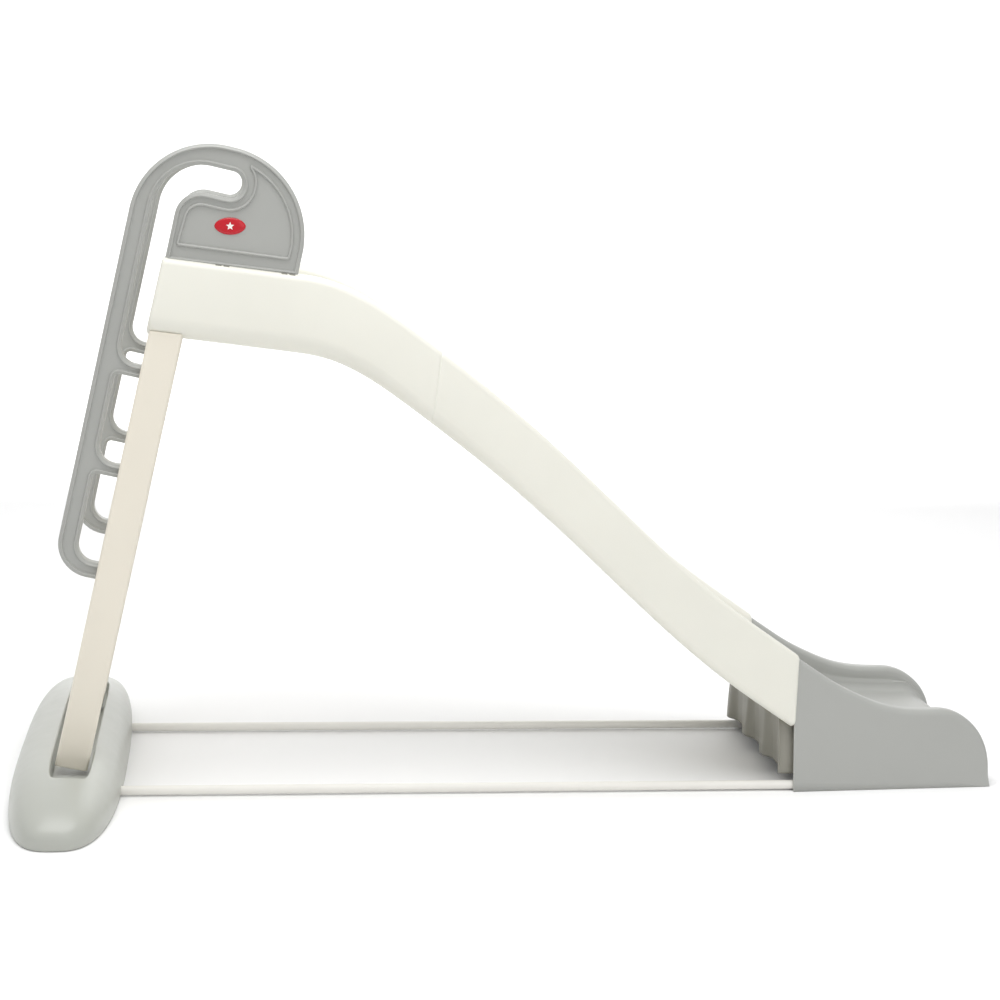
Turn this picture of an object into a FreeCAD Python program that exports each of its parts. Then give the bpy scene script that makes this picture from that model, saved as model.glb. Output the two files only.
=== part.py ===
import FreeCAD, Part
import math
import os
import Sketcher
from FreeCAD import Placement, Rotation, Vector

# Toddler slide, free-standing, in millimetres.
# +X runs from the ladder to the exit, +Y to the rider's left, +Z up.
# The origin is on the floor, under the middle of the slide's length.

doc = FreeCAD.newDocument("toddler_slide")

# --- driving dimensions -------------------------------------------------------------------------
SIZES = [
    ("overall_length", 1650, "back edge of the foot to the exit nose"),
    ("deck_wall_height", 850, "top of the side wall at the front of the deck"),
    ("deck_length", 209, "level stretch at the top of the slide"),
    ("deck_fall", 23, "drop of the wall's top edge along the deck"),
    ("wall_depth", 117, "height of the chute's side wall, top edge to lower edge"),
    ("floor_depth", 74, "wall top down to the sliding floor"),
    ("moulding_wall", 4, "skin of the moulded chute and exit"),
    ("floor_slab", 8, "thickness of the sliding floor"),
    ("deck_half_width", 192, "half width over the wall tops at the deck"),
    ("seam_half_width", 155, "half width over the wall tops where chute and exit meet"),
    ("nose_half_width", 143, "half width over the wall tops at the exit nose"),
    ("wall_flare", 14, "how much wider each side is at the wall's lower edge"),
    ("wall_width", 36, "side wall, inner to outer face, at the deck"),
    ("wall_width_low", 24, "side wall, inner to outer face, at the exit"),
    ("chute_joint_share", 0.27, "where along the run the two chute sections meet"),
    ("joint_lean", 6, "lean of the joint faces from upright, degrees"),
    ("flange", 8, "bolting flange at each chute joint"),
    ("bolt_pitch", 80, "spacing of the bolts across a chute joint"),
    ("exit_length", 343, "exit section along X"),
    ("exit_lean", 2.7, "lean of the exit joint from upright, degrees"),
    ("exit_wall_top", 223, "wall top where the exit section starts"),
    ("exit_wall_low", 130, "wall top at the lowest stretch of the exit"),
    ("exit_floor_low", 88, "sliding floor at the lowest stretch of the exit"),
    ("exit_base_half", 184, "half width of the exit section at the floor, at its joint"),
    ("nose_base_half", 167, "half width of the exit section at the floor, at its nose"),
    ("nose_radius", 92, "rounding of the exit's side panels at the nose"),
    ("foot_length", 840, "rear foot across the slide"),
    ("foot_width", 180, "rear foot along X"),
    ("foot_rise", 85, "height of the rear foot's crown"),
    ("foot_skin", 6, "wall of the rear foot"),
    ("recess_half_length", 276, "half length of the trough in the foot that takes the ladder"),
    ("recess_width", 64, "width of that trough"),
    ("recess_floor", 43, "height of that trough's floor"),
    ("seat_height", 55.6, "height of the post's lower end, on its centre line"),
    ("seat_offset", 12.2, "post's lower end ahead of the foot's centre line"),
    ("ladder_tilt", 11.72, "lean of the ladder from upright, degrees"),
    ("post_width", 50, "post along the ladder's own fore-and-aft direction"),
    ("post_depth", 48, "post across the slide"),
    ("post_spacing", 355, "centre to centre of the posts and of the handrails"),
    ("tenon_width", 28, "tenon at either end of a post"),
    ("tenon_depth", 22, "tenon across the slide"),
    ("tenon_length", 34, "tenon along the post"),
    ("rail_thickness", 24, "handrail across the slide"),
    ("rail_reach", 70, "handrail's back edge behind the post"),
    ("rail_rim", 32, "width of the handrail's back rim"),
    ("rail_tongue", 29, "handrail's edge inside the post's groove"),
    ("rail_foot", 15.5, "handrail's lower edge below the second tread's centre"),
    ("cross_bar", 21, "height of the handrail's cross-bars"),
    ("bend_radius", 139, "outer radius of the handrail's top bend"),
    ("bend_rise", 53, "bend centre above the deck's wall top"),
    ("slot_rise", 138, "centre of the hand slot above the deck's wall top"),
    ("slot_radius", 21, "half height of the hand slot"),
    ("slot_end", 49, "hand slot's round end ahead of the post's centre line"),
    ("slot_sweep", 84.5, "outer bend of the hand slot"),
    ("panel_corner", 41, "rounded upper corner of the handrail's panel"),
    ("bead", 6, "raised edge round the handrail's faces"),
    ("web_recess", 4, "depth of the handrail's faces below that edge"),
    ("tab_length", 20, "handrail tab that plugs into the deck wall, along X"),
    ("tab_depth", 16, "that tab's depth into the wall"),
    ("tread_count", 4, "ladder treads"),
    ("deck_step", 183, "top tread's centre to the deck's wall top, along the ladder"),
    ("tread_width", 44, "tread fore and aft"),
    ("tread_height", 22, "tread, top to underside"),
    ("tread_mortise", 7, "how far a tread's end goes into the post"),
    ("grip_width", 4, "grip groove along a tread"),
    ("grip_depth", 2, "depth of that groove"),
    ("grip_margin", 15, "tread left plain at each end of a groove"),
    ("rod_diameter", 15, "floor rod"),
    ("rod_height", 9, "rod's centre above the floor"),
    ("rod_spacing", 344, "centre to centre of the rods"),
    ("rod_engagement", 40, "how far a rod's end is held"),
    ("brace_thickness", 5, "corrugated brace under the exit"),
    ("brace_clear", 26, "brace's lower edge above the floor"),
    ("brace_fold", 11, "depth of its corrugations"),
    ("brace_ridges", 3, "corrugations across the brace"),
    ("bolt_diameter", 6, "bolts at the chute joints"),
    ("bolt_head", 11, "bolt head and nut across"),
    ("bolt_head_height", 4, "bolt head and nut height"),
    ("screw_diameter", 4, "self-tapping screws"),
    ("screw_head", 8, "screw head"),
    ("screw_length", 18, "screw under its head"),
    ("short_screw_length", 8, "the brace's screws, which end inside the panel's skin"),
    ("badge_length", 49, "oval badge on the handrail"),
    ("badge_height", 27, "the badge's other axis"),
    ("badge_thickness", 2, "badge"),
    ("badge_ahead", 63, "badge's centre ahead of the post's centre line"),
    ("badge_rise", 71, "badge's centre above the deck's wall top"),
    ("pad_diameter", 26, "anti-slip pad"),
    ("pad_thickness", 3, "anti-slip pad"),
    ("fit_gap", 0.4, "clearance on each side of a piece in its pocket"),
]

sheet = doc.addObject("Spreadsheet::Sheet", "sizes")
for row, (name, value, note) in enumerate(SIZES, start=1):
    sheet.set("A%d" % row, name)
    sheet.set("B%d" % row, str(value))
    sheet.set("C%d" % row, note)
    sheet.setAlias("B%d" % row, name)
doc.recompute()


class Size:
    """Reads a driving dimension from the sheet by its name."""

    def __getattr__(self, name):
        return float(getattr(sheet, name))


size = Size()

# --- ladder frame: u points forwards across the ladder, w points up along it ---------------------
HALF_LENGTH = size.overall_length / 2
TILT = math.radians(size.ladder_tilt)
SEAT_X = -HALF_LENGTH + size.foot_width / 2 + size.seat_offset
HALF_POST = size.post_width / 2
SIDES = {"left": 1, "right": -1}


def ladder_to_world(u, w):
    """X and Z of a point given in the ladder frame."""
    x = SEAT_X + u * math.cos(TILT) + w * math.sin(TILT)
    z = size.seat_height - u * math.sin(TILT) + w * math.cos(TILT)
    return x, z


def world_to_ladder(x, z):
    """u and w of a point given by X and Z."""
    dx, dz = x - SEAT_X, z - size.seat_height
    return dx * math.cos(TILT) - dz * math.sin(TILT), dx * math.sin(TILT) + dz * math.cos(TILT)


def ladder_placement(y):
    """Stands a piece drawn in the ladder frame in its place across the slide."""
    return Placement(Vector(SEAT_X, y, size.seat_height), Rotation(Vector(0, 1, 0), size.ladder_tilt))


# --- the slide's line, side view -----------------------------------------------------------------
DECK_REAR_Z = size.deck_wall_height + size.deck_fall
_seat_rise = DECK_REAR_Z - size.seat_height - HALF_POST * math.sin(TILT)
DECK_REAR_X = ladder_to_world(-HALF_POST, _seat_rise / math.cos(TILT))[0]
DECK_FRONT_X = DECK_REAR_X + size.deck_length
SEAM_X = HALF_LENGTH - size.exit_length
RUN = SEAM_X - DECK_FRONT_X
DROP = size.deck_wall_height - size.exit_wall_top
# share of the run, share of the drop: gentle at first, steepest near the middle
SLOPE_SHAPE = [(0.077, 0.024), (0.229, 0.149), (0.485, 0.423), (0.689, 0.676), (0.857, 0.866), (1, 1)]
EXIT_LEAN = math.radians(size.exit_lean)


def deck_line_z(x):
    """Height of the wall tops along the straight deck."""
    return size.deck_wall_height + (DECK_FRONT_X - x) * size.deck_fall / size.deck_length


class Station:
    """One cross-section of the chute: where it is, and its widths."""

    def __init__(self, x, top, share):
        self.x = x
        self.top = top
        self.half = size.deck_half_width + share * (size.seam_half_width - size.deck_half_width)
        self.wall = size.wall_width + share * (size.wall_width_low - size.wall_width)
        self.lean = 0.0

    def outer(self, depth):
        """Half width of the outer face at a depth below the wall top."""
        return self.half + size.wall_flare * depth / size.wall_depth

    def inner(self, depth):
        """Half width of the trough at a depth below the wall top."""
        return self.half - self.wall - size.moulding_wall * depth / size.floor_depth


def chute_stations():
    """Stations from the deck's rear end down to the exit joint."""
    rear = Station(DECK_REAR_X, DECK_REAR_Z, 0)
    rear.lean = math.tan(TILT)
    stations = [rear, Station(DECK_FRONT_X, size.deck_wall_height, 0)]
    for run_share, drop_share in SLOPE_SHAPE:
        x = DECK_FRONT_X + run_share * RUN
        stations.append(Station(x, size.deck_wall_height - drop_share * DROP, run_share))
    stations[-1].lean = math.tan(EXIT_LEAN)
    return stations


# --- solids with ruled sides ---------------------------------------------------------------------
def long_edges(points, straight_lead):
    """A straight edge through the first two points, then one smooth curve through the rest."""
    if not straight_lead:
        curve = Part.BSplineCurve()
        curve.interpolate(points)
        return [curve.toShape()]
    curve = Part.BSplineCurve()
    lead = (points[1] - points[0]).normalize()
    tail = (points[-1] - points[-2]).normalize()
    curve.interpolate(Points=points[1:], InitialTangent=lead, FinalTangent=tail)
    return [Part.makeLine(points[0], points[1]), curve.toShape()]


def ruled_solid(corner_rows, straight_lead=True):
    """Closed solid over stations. Each row holds its corners, in order round the section."""
    count = len(corner_rows[0])
    rails = [long_edges([row[corner] for row in corner_rows], straight_lead) for corner in range(count)]
    faces = []
    for corner in range(count):
        for edge, next_edge in zip(rails[corner], rails[(corner + 1) % count]):
            faces.append(Part.makeRuledSurface(edge, next_edge))
    for row in (corner_rows[0], corner_rows[-1]):
        faces.append(Part.Face(Part.makePolygon(row + row[:1])))
    return closed_solid(faces)


def closed_solid(faces):
    """Sews faces into one solid with its faces outwards."""
    shell = Part.Shell(faces)
    shell.sewShape()
    solid = Part.Solid(shell)
    if solid.Volume < 0:
        solid.reverse()
    return solid


def outer_face(station, depth):
    return station.outer(depth)


def trough_face(station, depth):
    return station.inner(depth)


def inside_outer(station, depth):
    return station.outer(depth) - size.moulding_wall


def behind_trough(station, depth):
    return station.inner(depth) + size.moulding_wall


def along_chute(stations, half_section, ends=(0.0, 0.0)):
    """Ruled solid along the chute; its ends are moved along X by the two amounts.

    half_section lists (face, depth) pairs from the outside in: each face gives a half width
    at a depth below the wall top. The section is completed by its mirror image.
    """
    rows = []
    for index, station in enumerate(stations):
        shift = ends[0] if index == 0 else ends[1] if index == len(stations) - 1 else 0.0
        left = [(face(station, depth), depth) for face, depth in half_section]
        right = [(-y, depth) for y, depth in reversed(left)]
        rows.append([Vector(station.x + shift - depth * station.lean, y, station.top - depth)
                     for y, depth in left + right])
    return ruled_solid(rows)


def leaning_block(x, z, lean, before, after):
    """Wide slab on both sides of a leaning joint plane through (x, z)."""
    reach = size.overall_length
    block = Part.makeBox(before + after, 2 * reach, 2 * reach, Vector(-before, -reach, -reach))
    block.Placement = Placement(Vector(x, 0, z), Rotation(Vector(0, 1, 0), math.degrees(lean)))
    return block


def feature(name, shape):
    """Document object holding a finished shape under its plain name."""
    item = doc.addObject("Part::Feature", name)
    item.Label = name
    item.Shape = shape
    return item


def ladder_box(u_size, y_size, w_size, u, y, w):
    """Box in the ladder frame, centred on u and y and standing on w."""
    box = Part.makeBox(u_size, y_size, w_size, Vector(u - u_size / 2, -y_size / 2, w))
    box.Placement = ladder_placement(y)
    return box


# --- the two chute sections ----------------------------------------------------------------------
JOINT_X = DECK_FRONT_X + size.chute_joint_share * RUN
JOINT_LEAN = math.radians(size.joint_lean)
CLEAR = 60.0  # how far cutting tools stand past what they cut
HALF_SPACING = size.post_spacing / 2


def wall_top_at(x):
    """Height of the wall tops at X, read between stations."""
    stations = chute_stations()
    for start, end in zip(stations, stations[1:]):
        if start.x <= x <= end.x:
            return start.top + (end.top - start.top) * (x - start.x) / (end.x - start.x)
    return stations[-1].top


def deck_line_w(u, depth):
    """Where the line at a depth below the deck's wall top crosses the ladder frame at u."""
    ends = [(DECK_REAR_X, DECK_REAR_Z), (DECK_FRONT_X, size.deck_wall_height)]
    (u0, w0), (u1, w1) = [world_to_ladder(x, z - depth) for x, z in ends]
    return w0 + (w1 - w0) * (u - u0) / (u1 - u0)


def deck_underside_w(u):
    return deck_line_w(u, size.wall_depth)


def deck_top_w(u):
    return deck_line_w(u, 0.0)


def tab_positions():
    """X of the middle of each handrail tab along the deck wall."""
    return [DECK_REAR_X + 0.43 * size.deck_length, DECK_FRONT_X - 0.8 * size.tab_length]


def tab_block(x, y, grow):
    """Upright block for a handrail tab, or its pocket when grown by the fit's clearance."""
    length = size.tab_length + 2 * grow
    width = size.rail_thickness / 2 + 2 * grow
    bottom = deck_line_z(x) - size.tab_depth - grow
    corner = Vector(x - length / 2, y - width / 2, bottom)
    return Part.makeBox(length, width, size.tab_depth + grow + size.bead, corner)


def chute_hollow(stations):
    """The open underside: below the sliding floor and up inside both walls."""
    skin = size.moulding_wall
    slab_under = size.floor_depth + size.floor_slab
    section = [(inside_outer, size.wall_depth + CLEAR), (inside_outer, skin),
               (behind_trough, skin), (behind_trough, slab_under)]
    return along_chute(stations, section, (2 * skin, 0.0))


def solid_places():
    """What stays solid inside the chute: joint flanges, post sockets and tab pockets."""
    skin = size.moulding_wall
    keep = [leaning_block(JOINT_X, wall_top_at(JOINT_X), JOINT_LEAN, size.flange, size.flange)]
    keep.append(leaning_block(SEAM_X, size.exit_wall_top, EXIT_LEAN, size.flange, CLEAR))
    for side in SIDES.values():
        y = side * HALF_SPACING
        width = size.tenon_width + 4 * skin
        keep.append(ladder_box(width, 3 * size.tenon_depth, size.tenon_length + 4 * skin,
                               0, y, deck_underside_w(0) - skin))
        for x in tab_positions():
            keep.append(tab_block(x, y, 2 * skin))
    return keep


def make_chutes():
    """Both chute sections, cut from one moulding line at the joint."""
    stations = chute_stations()
    section = [(outer_face, size.wall_depth), (outer_face, 0.0),
               (trough_face, 0.0), (trough_face, size.floor_depth)]
    whole = along_chute(stations, section)
    whole = whole.cut(chute_hollow(stations).cut(solid_places()))
    pockets = []
    for side in SIDES.values():
        y = side * HALF_SPACING
        gap = 2 * size.fit_gap
        length = size.tenon_length + size.fit_gap + CLEAR
        pockets.append(ladder_box(size.tenon_width + gap, size.tenon_depth + gap, length,
                                  0, y, deck_underside_w(0) - CLEAR))
        pockets += [tab_block(x, y, size.fit_gap) for x in tab_positions()]
    pockets += [bolt_hole(place) for place in joint_bolt_places() + exit_bolt_places()]
    whole = whole.cut(pockets)
    beyond = leaning_block(JOINT_X, wall_top_at(JOINT_X), JOINT_LEAN, 0.0, 2 * size.overall_length)
    feature("upper_chute", whole.cut(beyond))
    feature("lower_chute", whole.common(beyond))


# --- bolts through the joint flanges -------------------------------------------------------------
def bolt_row(x, z, lean, y_values, depth):
    """Placements of bolts across a leaning joint, each along the joint's own normal."""
    turn = Rotation(Vector(0, 1, 0), 90 + math.degrees(lean))
    centre_x = x - depth * math.sin(lean)
    return [Placement(Vector(centre_x, y, z - depth * math.cos(lean)), turn) for y in y_values]


def joint_bolt_places():
    """Four bolts under the floor at the chute joint."""
    depth = (size.floor_depth + size.floor_slab + size.wall_depth) / 2
    y_values = [size.bolt_pitch * step for step in (-1.5, -0.5, 0.5, 1.5)]
    return bolt_row(JOINT_X, wall_top_at(JOINT_X), JOINT_LEAN, y_values, depth)


def exit_bolt_places():
    """Three bolts under the floor where the chute meets the exit."""
    depth = (size.floor_depth + size.floor_slab + size.wall_depth) / 2
    y_values = [size.bolt_pitch * step for step in (-1, 0, 1)]
    return bolt_row(SEAM_X, size.exit_wall_top, EXIT_LEAN, y_values, depth)


def bolt_hole(place):
    """Clearance hole through both flanges."""
    reach = 2 * size.flange
    hole = Part.makeCylinder(size.bolt_diameter / 2 + size.fit_gap, 2 * reach, Vector(0, 0, -reach))
    hole.Placement = place
    return hole


def bolt(place):
    """Headed bolt whose shank passes both flanges and the nut."""
    shank = 2 * size.flange + 1.5 * size.bolt_head_height
    body = Part.makeCylinder(size.bolt_diameter / 2, shank, Vector(0, 0, -size.flange))
    head = Part.makeCylinder(size.bolt_head / 2, size.bolt_head_height,
                             Vector(0, 0, -size.flange - size.bolt_head_height))
    item = body.fuse(head).removeSplitter()
    item.Placement = place
    return item


def nut(place):
    """Plain six-sided nut on the far flange."""
    corners = [Vector(size.bolt_head / 2 * math.cos(k * math.pi / 3),
                      size.bolt_head / 2 * math.sin(k * math.pi / 3), size.flange) for k in range(7)]
    block = Part.Face(Part.makePolygon(corners)).extrude(Vector(0, 0, size.bolt_head_height))
    item = block.cut(Part.makeCylinder(size.bolt_diameter / 2, CLEAR, Vector(0, 0, 0)))
    item.Placement = place
    return item


def make_bolts():
    """Bolts and nuts of both joints, each kind grouped by joint."""
    feature("chute_joint_bolts", Part.makeCompound([bolt(p) for p in joint_bolt_places()]))
    feature("chute_joint_nuts", Part.makeCompound([nut(p) for p in joint_bolt_places()]))
    feature("exit_joint_bolts", Part.makeCompound([bolt(p) for p in exit_bolt_places()]))
    feature("exit_joint_nuts", Part.makeCompound([nut(p) for p in exit_bolt_places()]))


# --- exit section --------------------------------------------------------------------------------
NOSE_START_X = HALF_LENGTH - size.nose_radius
# share of the way to the nose rounding, share of the drop
EXIT_SHAPE = [(0.30, 0.52), (0.45, 0.72), (0.62, 0.90), (0.81, 0.99)]
EXIT_FLOOR_SHAPE = [(0.30, 0.56), (0.60, 0.90), (0.80, 0.98)]
EXIT_START_SLOPE = -0.62
EXIT_DROP = size.exit_wall_top - size.exit_wall_low
EXIT_FLOOR_DROP = size.exit_wall_top - size.floor_depth - size.exit_floor_low


def exit_curve(start_z, drop, shape):
    """Line falling from the joint to the low stretch before the nose."""
    reach = NOSE_START_X - SEAM_X
    points = [Vector(SEAM_X, 0, start_z)]
    points += [Vector(SEAM_X + a * reach, 0, start_z - b * drop) for a, b in shape]
    points.append(Vector(NOSE_START_X, 0, start_z - drop))
    curve = Part.BSplineCurve()
    curve.interpolate(Points=points, InitialTangent=Vector(1, 0, EXIT_START_SLOPE),
                      FinalTangent=Vector(1, 0, 0))
    return curve.toShape()


def exit_profile(inset, radius, base):
    """Side view of the exit section, moved in from its edges by an inset."""
    low = size.exit_wall_low - inset
    nose_x = HALF_LENGTH - inset
    top = exit_curve(size.exit_wall_top - inset, EXIT_DROP, EXIT_SHAPE)
    centre_x, centre_z = nose_x - radius, low - radius
    top_end = Vector(NOSE_START_X, 0, low)
    arc_start = Vector(centre_x, 0, low)
    middle = Vector(centre_x + radius * math.sin(math.pi / 4), 0, centre_z + radius * math.cos(math.pi / 4))
    arc_end = Vector(nose_x, 0, centre_z)
    edges = [top]
    if arc_start.x > top_end.x + 0.01:
        edges.append(Part.makeLine(top_end, arc_start))
    edges.append(Part.Arc(arc_start, middle, arc_end).toShape())
    rear_x = SEAM_X - size.wall_depth * math.tan(EXIT_LEAN)
    rest = [arc_end, Vector(nose_x, 0, base), Vector(rear_x, 0, base),
            Vector(rear_x, 0, size.exit_wall_top - size.wall_depth),
            Vector(SEAM_X, 0, size.exit_wall_top - inset)]
    edges += [Part.makeLine(start, end) for start, end in zip(rest, rest[1:])]
    return Part.Face(Part.Wire(edges))


def exit_half_width(x, z):
    """Half width of the exit's outer faces, which flare towards the floor."""
    along = (x - SEAM_X) / size.exit_length
    top_z = size.exit_wall_top + along * (size.exit_wall_low - size.exit_wall_top)
    top_half = size.seam_half_width + along * (size.nose_half_width - size.seam_half_width)
    base_half = size.exit_base_half + along * (size.nose_base_half - size.exit_base_half)
    return base_half + (top_half - base_half) * z / top_z


def draft_block(inset_left, inset_right, low, high, x_low, x_high):
    """Block with the exit's flared sides; the insets move each side's face."""
    rows = []
    for x in (x_low, x_high):
        corners = []
        for z, inset in ((high, inset_left), (high, inset_right), (low, inset_right), (low, inset_left)):
            corners.append(Vector(x, inset(x, z), z))
        rows.append(corners)
    return ruled_solid(rows, straight_lead=False)


def exit_inner_half(x, z):
    """Half width of the exit's trough, the same as the chute's at the joint."""
    along = (x - SEAM_X) / size.exit_length
    top_half = size.seam_half_width + along * (size.nose_half_width - size.seam_half_width)
    return top_half - size.wall_width_low - size.moulding_wall


def exit_trough():
    """Space over the exit's sliding floor, which rounds down at the nose."""
    floor = exit_curve(size.exit_wall_top - size.floor_depth, EXIT_FLOOR_DROP, EXIT_FLOOR_SHAPE)
    low = size.exit_floor_low
    radius = size.nose_radius - (size.exit_wall_low - low)
    front_x = HALF_LENGTH - 2 * size.moulding_wall
    bend_x = front_x - radius
    middle = Vector(bend_x + radius * math.sin(math.pi / 4), 0, low - radius + radius * math.cos(math.pi / 4))
    high = size.exit_wall_top + CLEAR
    seam_floor = size.exit_wall_top - size.floor_depth
    corners = [Vector(front_x, 0, low - radius), Vector(front_x, 0, -CLEAR),
               Vector(HALF_LENGTH + CLEAR, 0, -CLEAR), Vector(HALF_LENGTH + CLEAR, 0, high),
               Vector(SEAM_X - CLEAR, 0, high),
               Vector(SEAM_X - CLEAR, 0, seam_floor), Vector(SEAM_X, 0, seam_floor)]
    edges = [floor, Part.makeLine(Vector(NOSE_START_X, 0, low), Vector(bend_x, 0, low)),
             Part.Arc(Vector(bend_x, 0, low), middle, corners[0]).toShape()]
    edges += [Part.makeLine(a, b) for a, b in zip(corners, corners[1:])]
    return Part.Face(Part.Wire(edges))


def across(face, half):
    """Extrudes a side-view face across the slide, both ways."""
    moved = face.copy()
    moved.translate(Vector(0, half, 0))
    return moved.extrude(Vector(0, -2 * half, 0))


def make_exit():
    """Exit section: two flared side panels, the sliding floor, and an open underside."""
    skin = size.moulding_wall
    wide = size.exit_base_half + CLEAR
    high = size.exit_wall_top + CLEAR
    spans = (-CLEAR, high, SEAM_X - CLEAR, HALF_LENGTH + CLEAR)
    outer = across(exit_profile(0, size.nose_radius, 0.0), wide)
    outer = outer.common(draft_block(exit_half_width, lambda x, z: -exit_half_width(x, z), *spans))
    trough = across(exit_trough(), wide).common(
        draft_block(exit_inner_half, lambda x, z: -exit_inner_half(x, z), *spans))
    inside = across(exit_profile(skin, size.nose_radius - skin, -CLEAR), wide)
    hollow = inside.common(draft_block(lambda x, z: exit_half_width(x, z) - skin,
                                       lambda x, z: skin - exit_half_width(x, z), *spans))
    shifted = exit_trough()
    shifted.translate(Vector(-size.floor_slab / 2, 0, -size.floor_slab))
    between_walls = draft_block(lambda x, z: exit_inner_half(x, z) + skin,
                                lambda x, z: -exit_inner_half(x, z) - skin, *spans)
    tray = across(shifted, wide).common(between_walls)
    flange = leaning_block(SEAM_X, size.exit_wall_top, EXIT_LEAN, CLEAR, size.flange)
    above_base = Part.makeBox(size.overall_length, 2 * wide, high,
                              Vector(0, -wide, size.exit_wall_top - size.wall_depth))
    hollow = hollow.cut([tray, flange.common(above_base)] + rod_bosses(SEAM_X + CLEAR, 1))
    shape = outer.cut([trough, hollow])
    shape = shape.cut([rod_space(grow=size.fit_gap)] + [bolt_hole(p) for p in exit_bolt_places()])
    feature("exit_section", shape)


# --- floor rods ----------------------------------------------------------------------------------
ROD_REAR_X = -HALF_LENGTH + size.foot_width - size.rod_engagement
ROD_FRONT_X = SEAM_X + size.rod_engagement


def rod_bosses(x, direction):
    """Solid blocks round the rod ends, standing on the floor."""
    width = size.rod_diameter + 4 * size.moulding_wall
    tall = size.rod_height + size.rod_diameter / 2 + 2 * size.moulding_wall
    length = 2 * size.rod_engagement + 2 * size.moulding_wall
    start = x - length if direction > 0 else x
    return [Part.makeBox(length, width, tall, Vector(start, side * size.rod_spacing / 2 - width / 2, 0))
            for side in SIDES.values()]


def rod_space(grow):
    """Both rods, or the bores that hold them when grown by the clearance."""
    length = ROD_FRONT_X - ROD_REAR_X + 2 * grow
    radius = size.rod_diameter / 2 + grow
    rods = []
    for side in SIDES.values():
        start = Vector(ROD_REAR_X - grow, side * size.rod_spacing / 2, size.rod_height)
        rods.append(Part.makeCylinder(radius, length, start, Vector(1, 0, 0)))
    return Part.makeCompound(rods)


def make_rods():
    """Two plain rods, each a cylinder bound to the sheet."""
    for name, side in SIDES.items():
        rod = doc.addObject("Part::Cylinder", name + "_floor_rod")
        rod.Label = name + "_floor_rod"
        rod.setExpression("Radius", "sizes.rod_diameter / 2")
        span = "sizes.overall_length - sizes.foot_width - sizes.exit_length"
        rod.setExpression("Height", span + " + 2 * sizes.rod_engagement")
        turn = Rotation(Vector(0, 1, 0), 90)
        rod.Placement = Placement(Vector(ROD_REAR_X, side * size.rod_spacing / 2, size.rod_height), turn)


# --- corrugated brace under the exit -------------------------------------------------------------
BRACE_TOP = size.exit_wall_top - size.wall_depth - size.fit_gap
BRACE_REAR_X = SEAM_X - size.wall_depth * math.tan(EXIT_LEAN) - size.brace_fold - size.brace_thickness


BRACE_FLAT_SHARE = 0.22  # flat crest or slope, as a share of the pitch


def brace_line():
    """Plan view of the folded sheet: a leg along each side panel and the ridges between."""
    half = exit_half_width(SEAM_X, BRACE_TOP) - size.moulding_wall - size.brace_thickness / 2 - size.fit_gap
    pitch = 2 * half / size.brace_ridges
    flat = BRACE_FLAT_SHARE * pitch
    leg_x = SEAM_X + 2 * size.brace_fold
    valley_x = BRACE_REAR_X + size.brace_fold
    points = [(leg_x, -half), (BRACE_REAR_X, -half)]
    for ridge in range(int(size.brace_ridges)):
        start = -half + ridge * pitch
        points += [(BRACE_REAR_X, start + flat), (valley_x, start + 2 * flat),
                   (valley_x, start + pitch - flat), (BRACE_REAR_X, start + pitch)]
    points[-1] = (BRACE_REAR_X, half)
    points.append((leg_x, half))
    return [Vector(x, y, size.brace_clear) for x, y in points]


def make_brace():
    """The folded sheet, thickened, standing between the side panels."""
    line = Part.makePolygon(brace_line())
    outline = line.makeOffset2D(size.brace_thickness / 2, join=2, fill=False, openResult=False)
    sheet_solid = Part.Face(outline).extrude(Vector(0, 0, BRACE_TOP - size.brace_clear))
    holes = [screw_hole(place, size.short_screw_length) for place in brace_screw_places()]
    feature("exit_brace", sheet_solid.cut(holes))


# --- screws --------------------------------------------------------------------------------------
def screw_hole(place, length):
    """Tight hole along the whole screw."""
    hole = Part.makeCylinder(size.screw_diameter / 2, length + size.fit_gap)
    hole.Placement = place
    return hole


def screw(place, length):
    """Round-headed screw: its head's underside is at the placement, its shank runs along it."""
    shank = Part.makeCylinder(size.screw_diameter / 2, length)
    ball = Part.makeSphere(size.screw_head / 2)
    below = Part.makeBox(CLEAR, CLEAR, CLEAR, Vector(-CLEAR / 2, -CLEAR / 2, 0))
    flat = ball.cut(below)
    item = shank.fuse(flat)
    item.Placement = place
    return item


def sideways(x, y, z, side):
    """Placement whose own axis points across the slide, towards the given side."""
    return Placement(Vector(x, y, z), Rotation(Vector(1, 0, 0), -90 * side))


def brace_screw_places():
    """Two screws a side, from inside the brace's legs into the side panels."""
    half = exit_half_width(SEAM_X, BRACE_TOP) - size.moulding_wall - size.brace_thickness - size.fit_gap
    places = []
    for side in SIDES.values():
        for z in (size.brace_clear + 2 * size.screw_head, BRACE_TOP - 2 * size.screw_head):
            places.append(sideways(SEAM_X + 1.2 * size.brace_fold, side * half, z, side))
    return places


def post_screw_places():
    """One screw a side, from the deck's inner wall into the post's tenon."""
    places = []
    for side in SIDES.values():
        x, z = ladder_to_world(0, deck_underside_w(0) + size.tenon_length / 2)
        rear = chute_stations()[0]
        places.append(sideways(x, side * rear.inner(size.floor_depth), z, side))
    return places


SCREW_BACK = 4.0  # handrail screws sit this far behind the middle of the tongue


def handrail_screw_places():
    """Screws from each post's inner face through the handrail's tongue, one at each cross-bar."""
    places = []
    inner = HALF_SPACING - size.post_depth / 2
    for side in SIDES.values():
        for number in rail_bar_numbers():
            x, z = ladder_to_world(-HALF_POST / 2 - SCREW_BACK, tread_w(number))
            places.append(sideways(x, side * inner, z, side))
    return places


# --- ladder --------------------------------------------------------------------------------------
DECK_W = deck_top_w(0)
TREAD_PITCH = (DECK_W - size.deck_step) / size.tread_count


def tread_w(number):
    """Middle of a tread along the ladder; number 1 is the lowest."""
    return number * TREAD_PITCH


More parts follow.
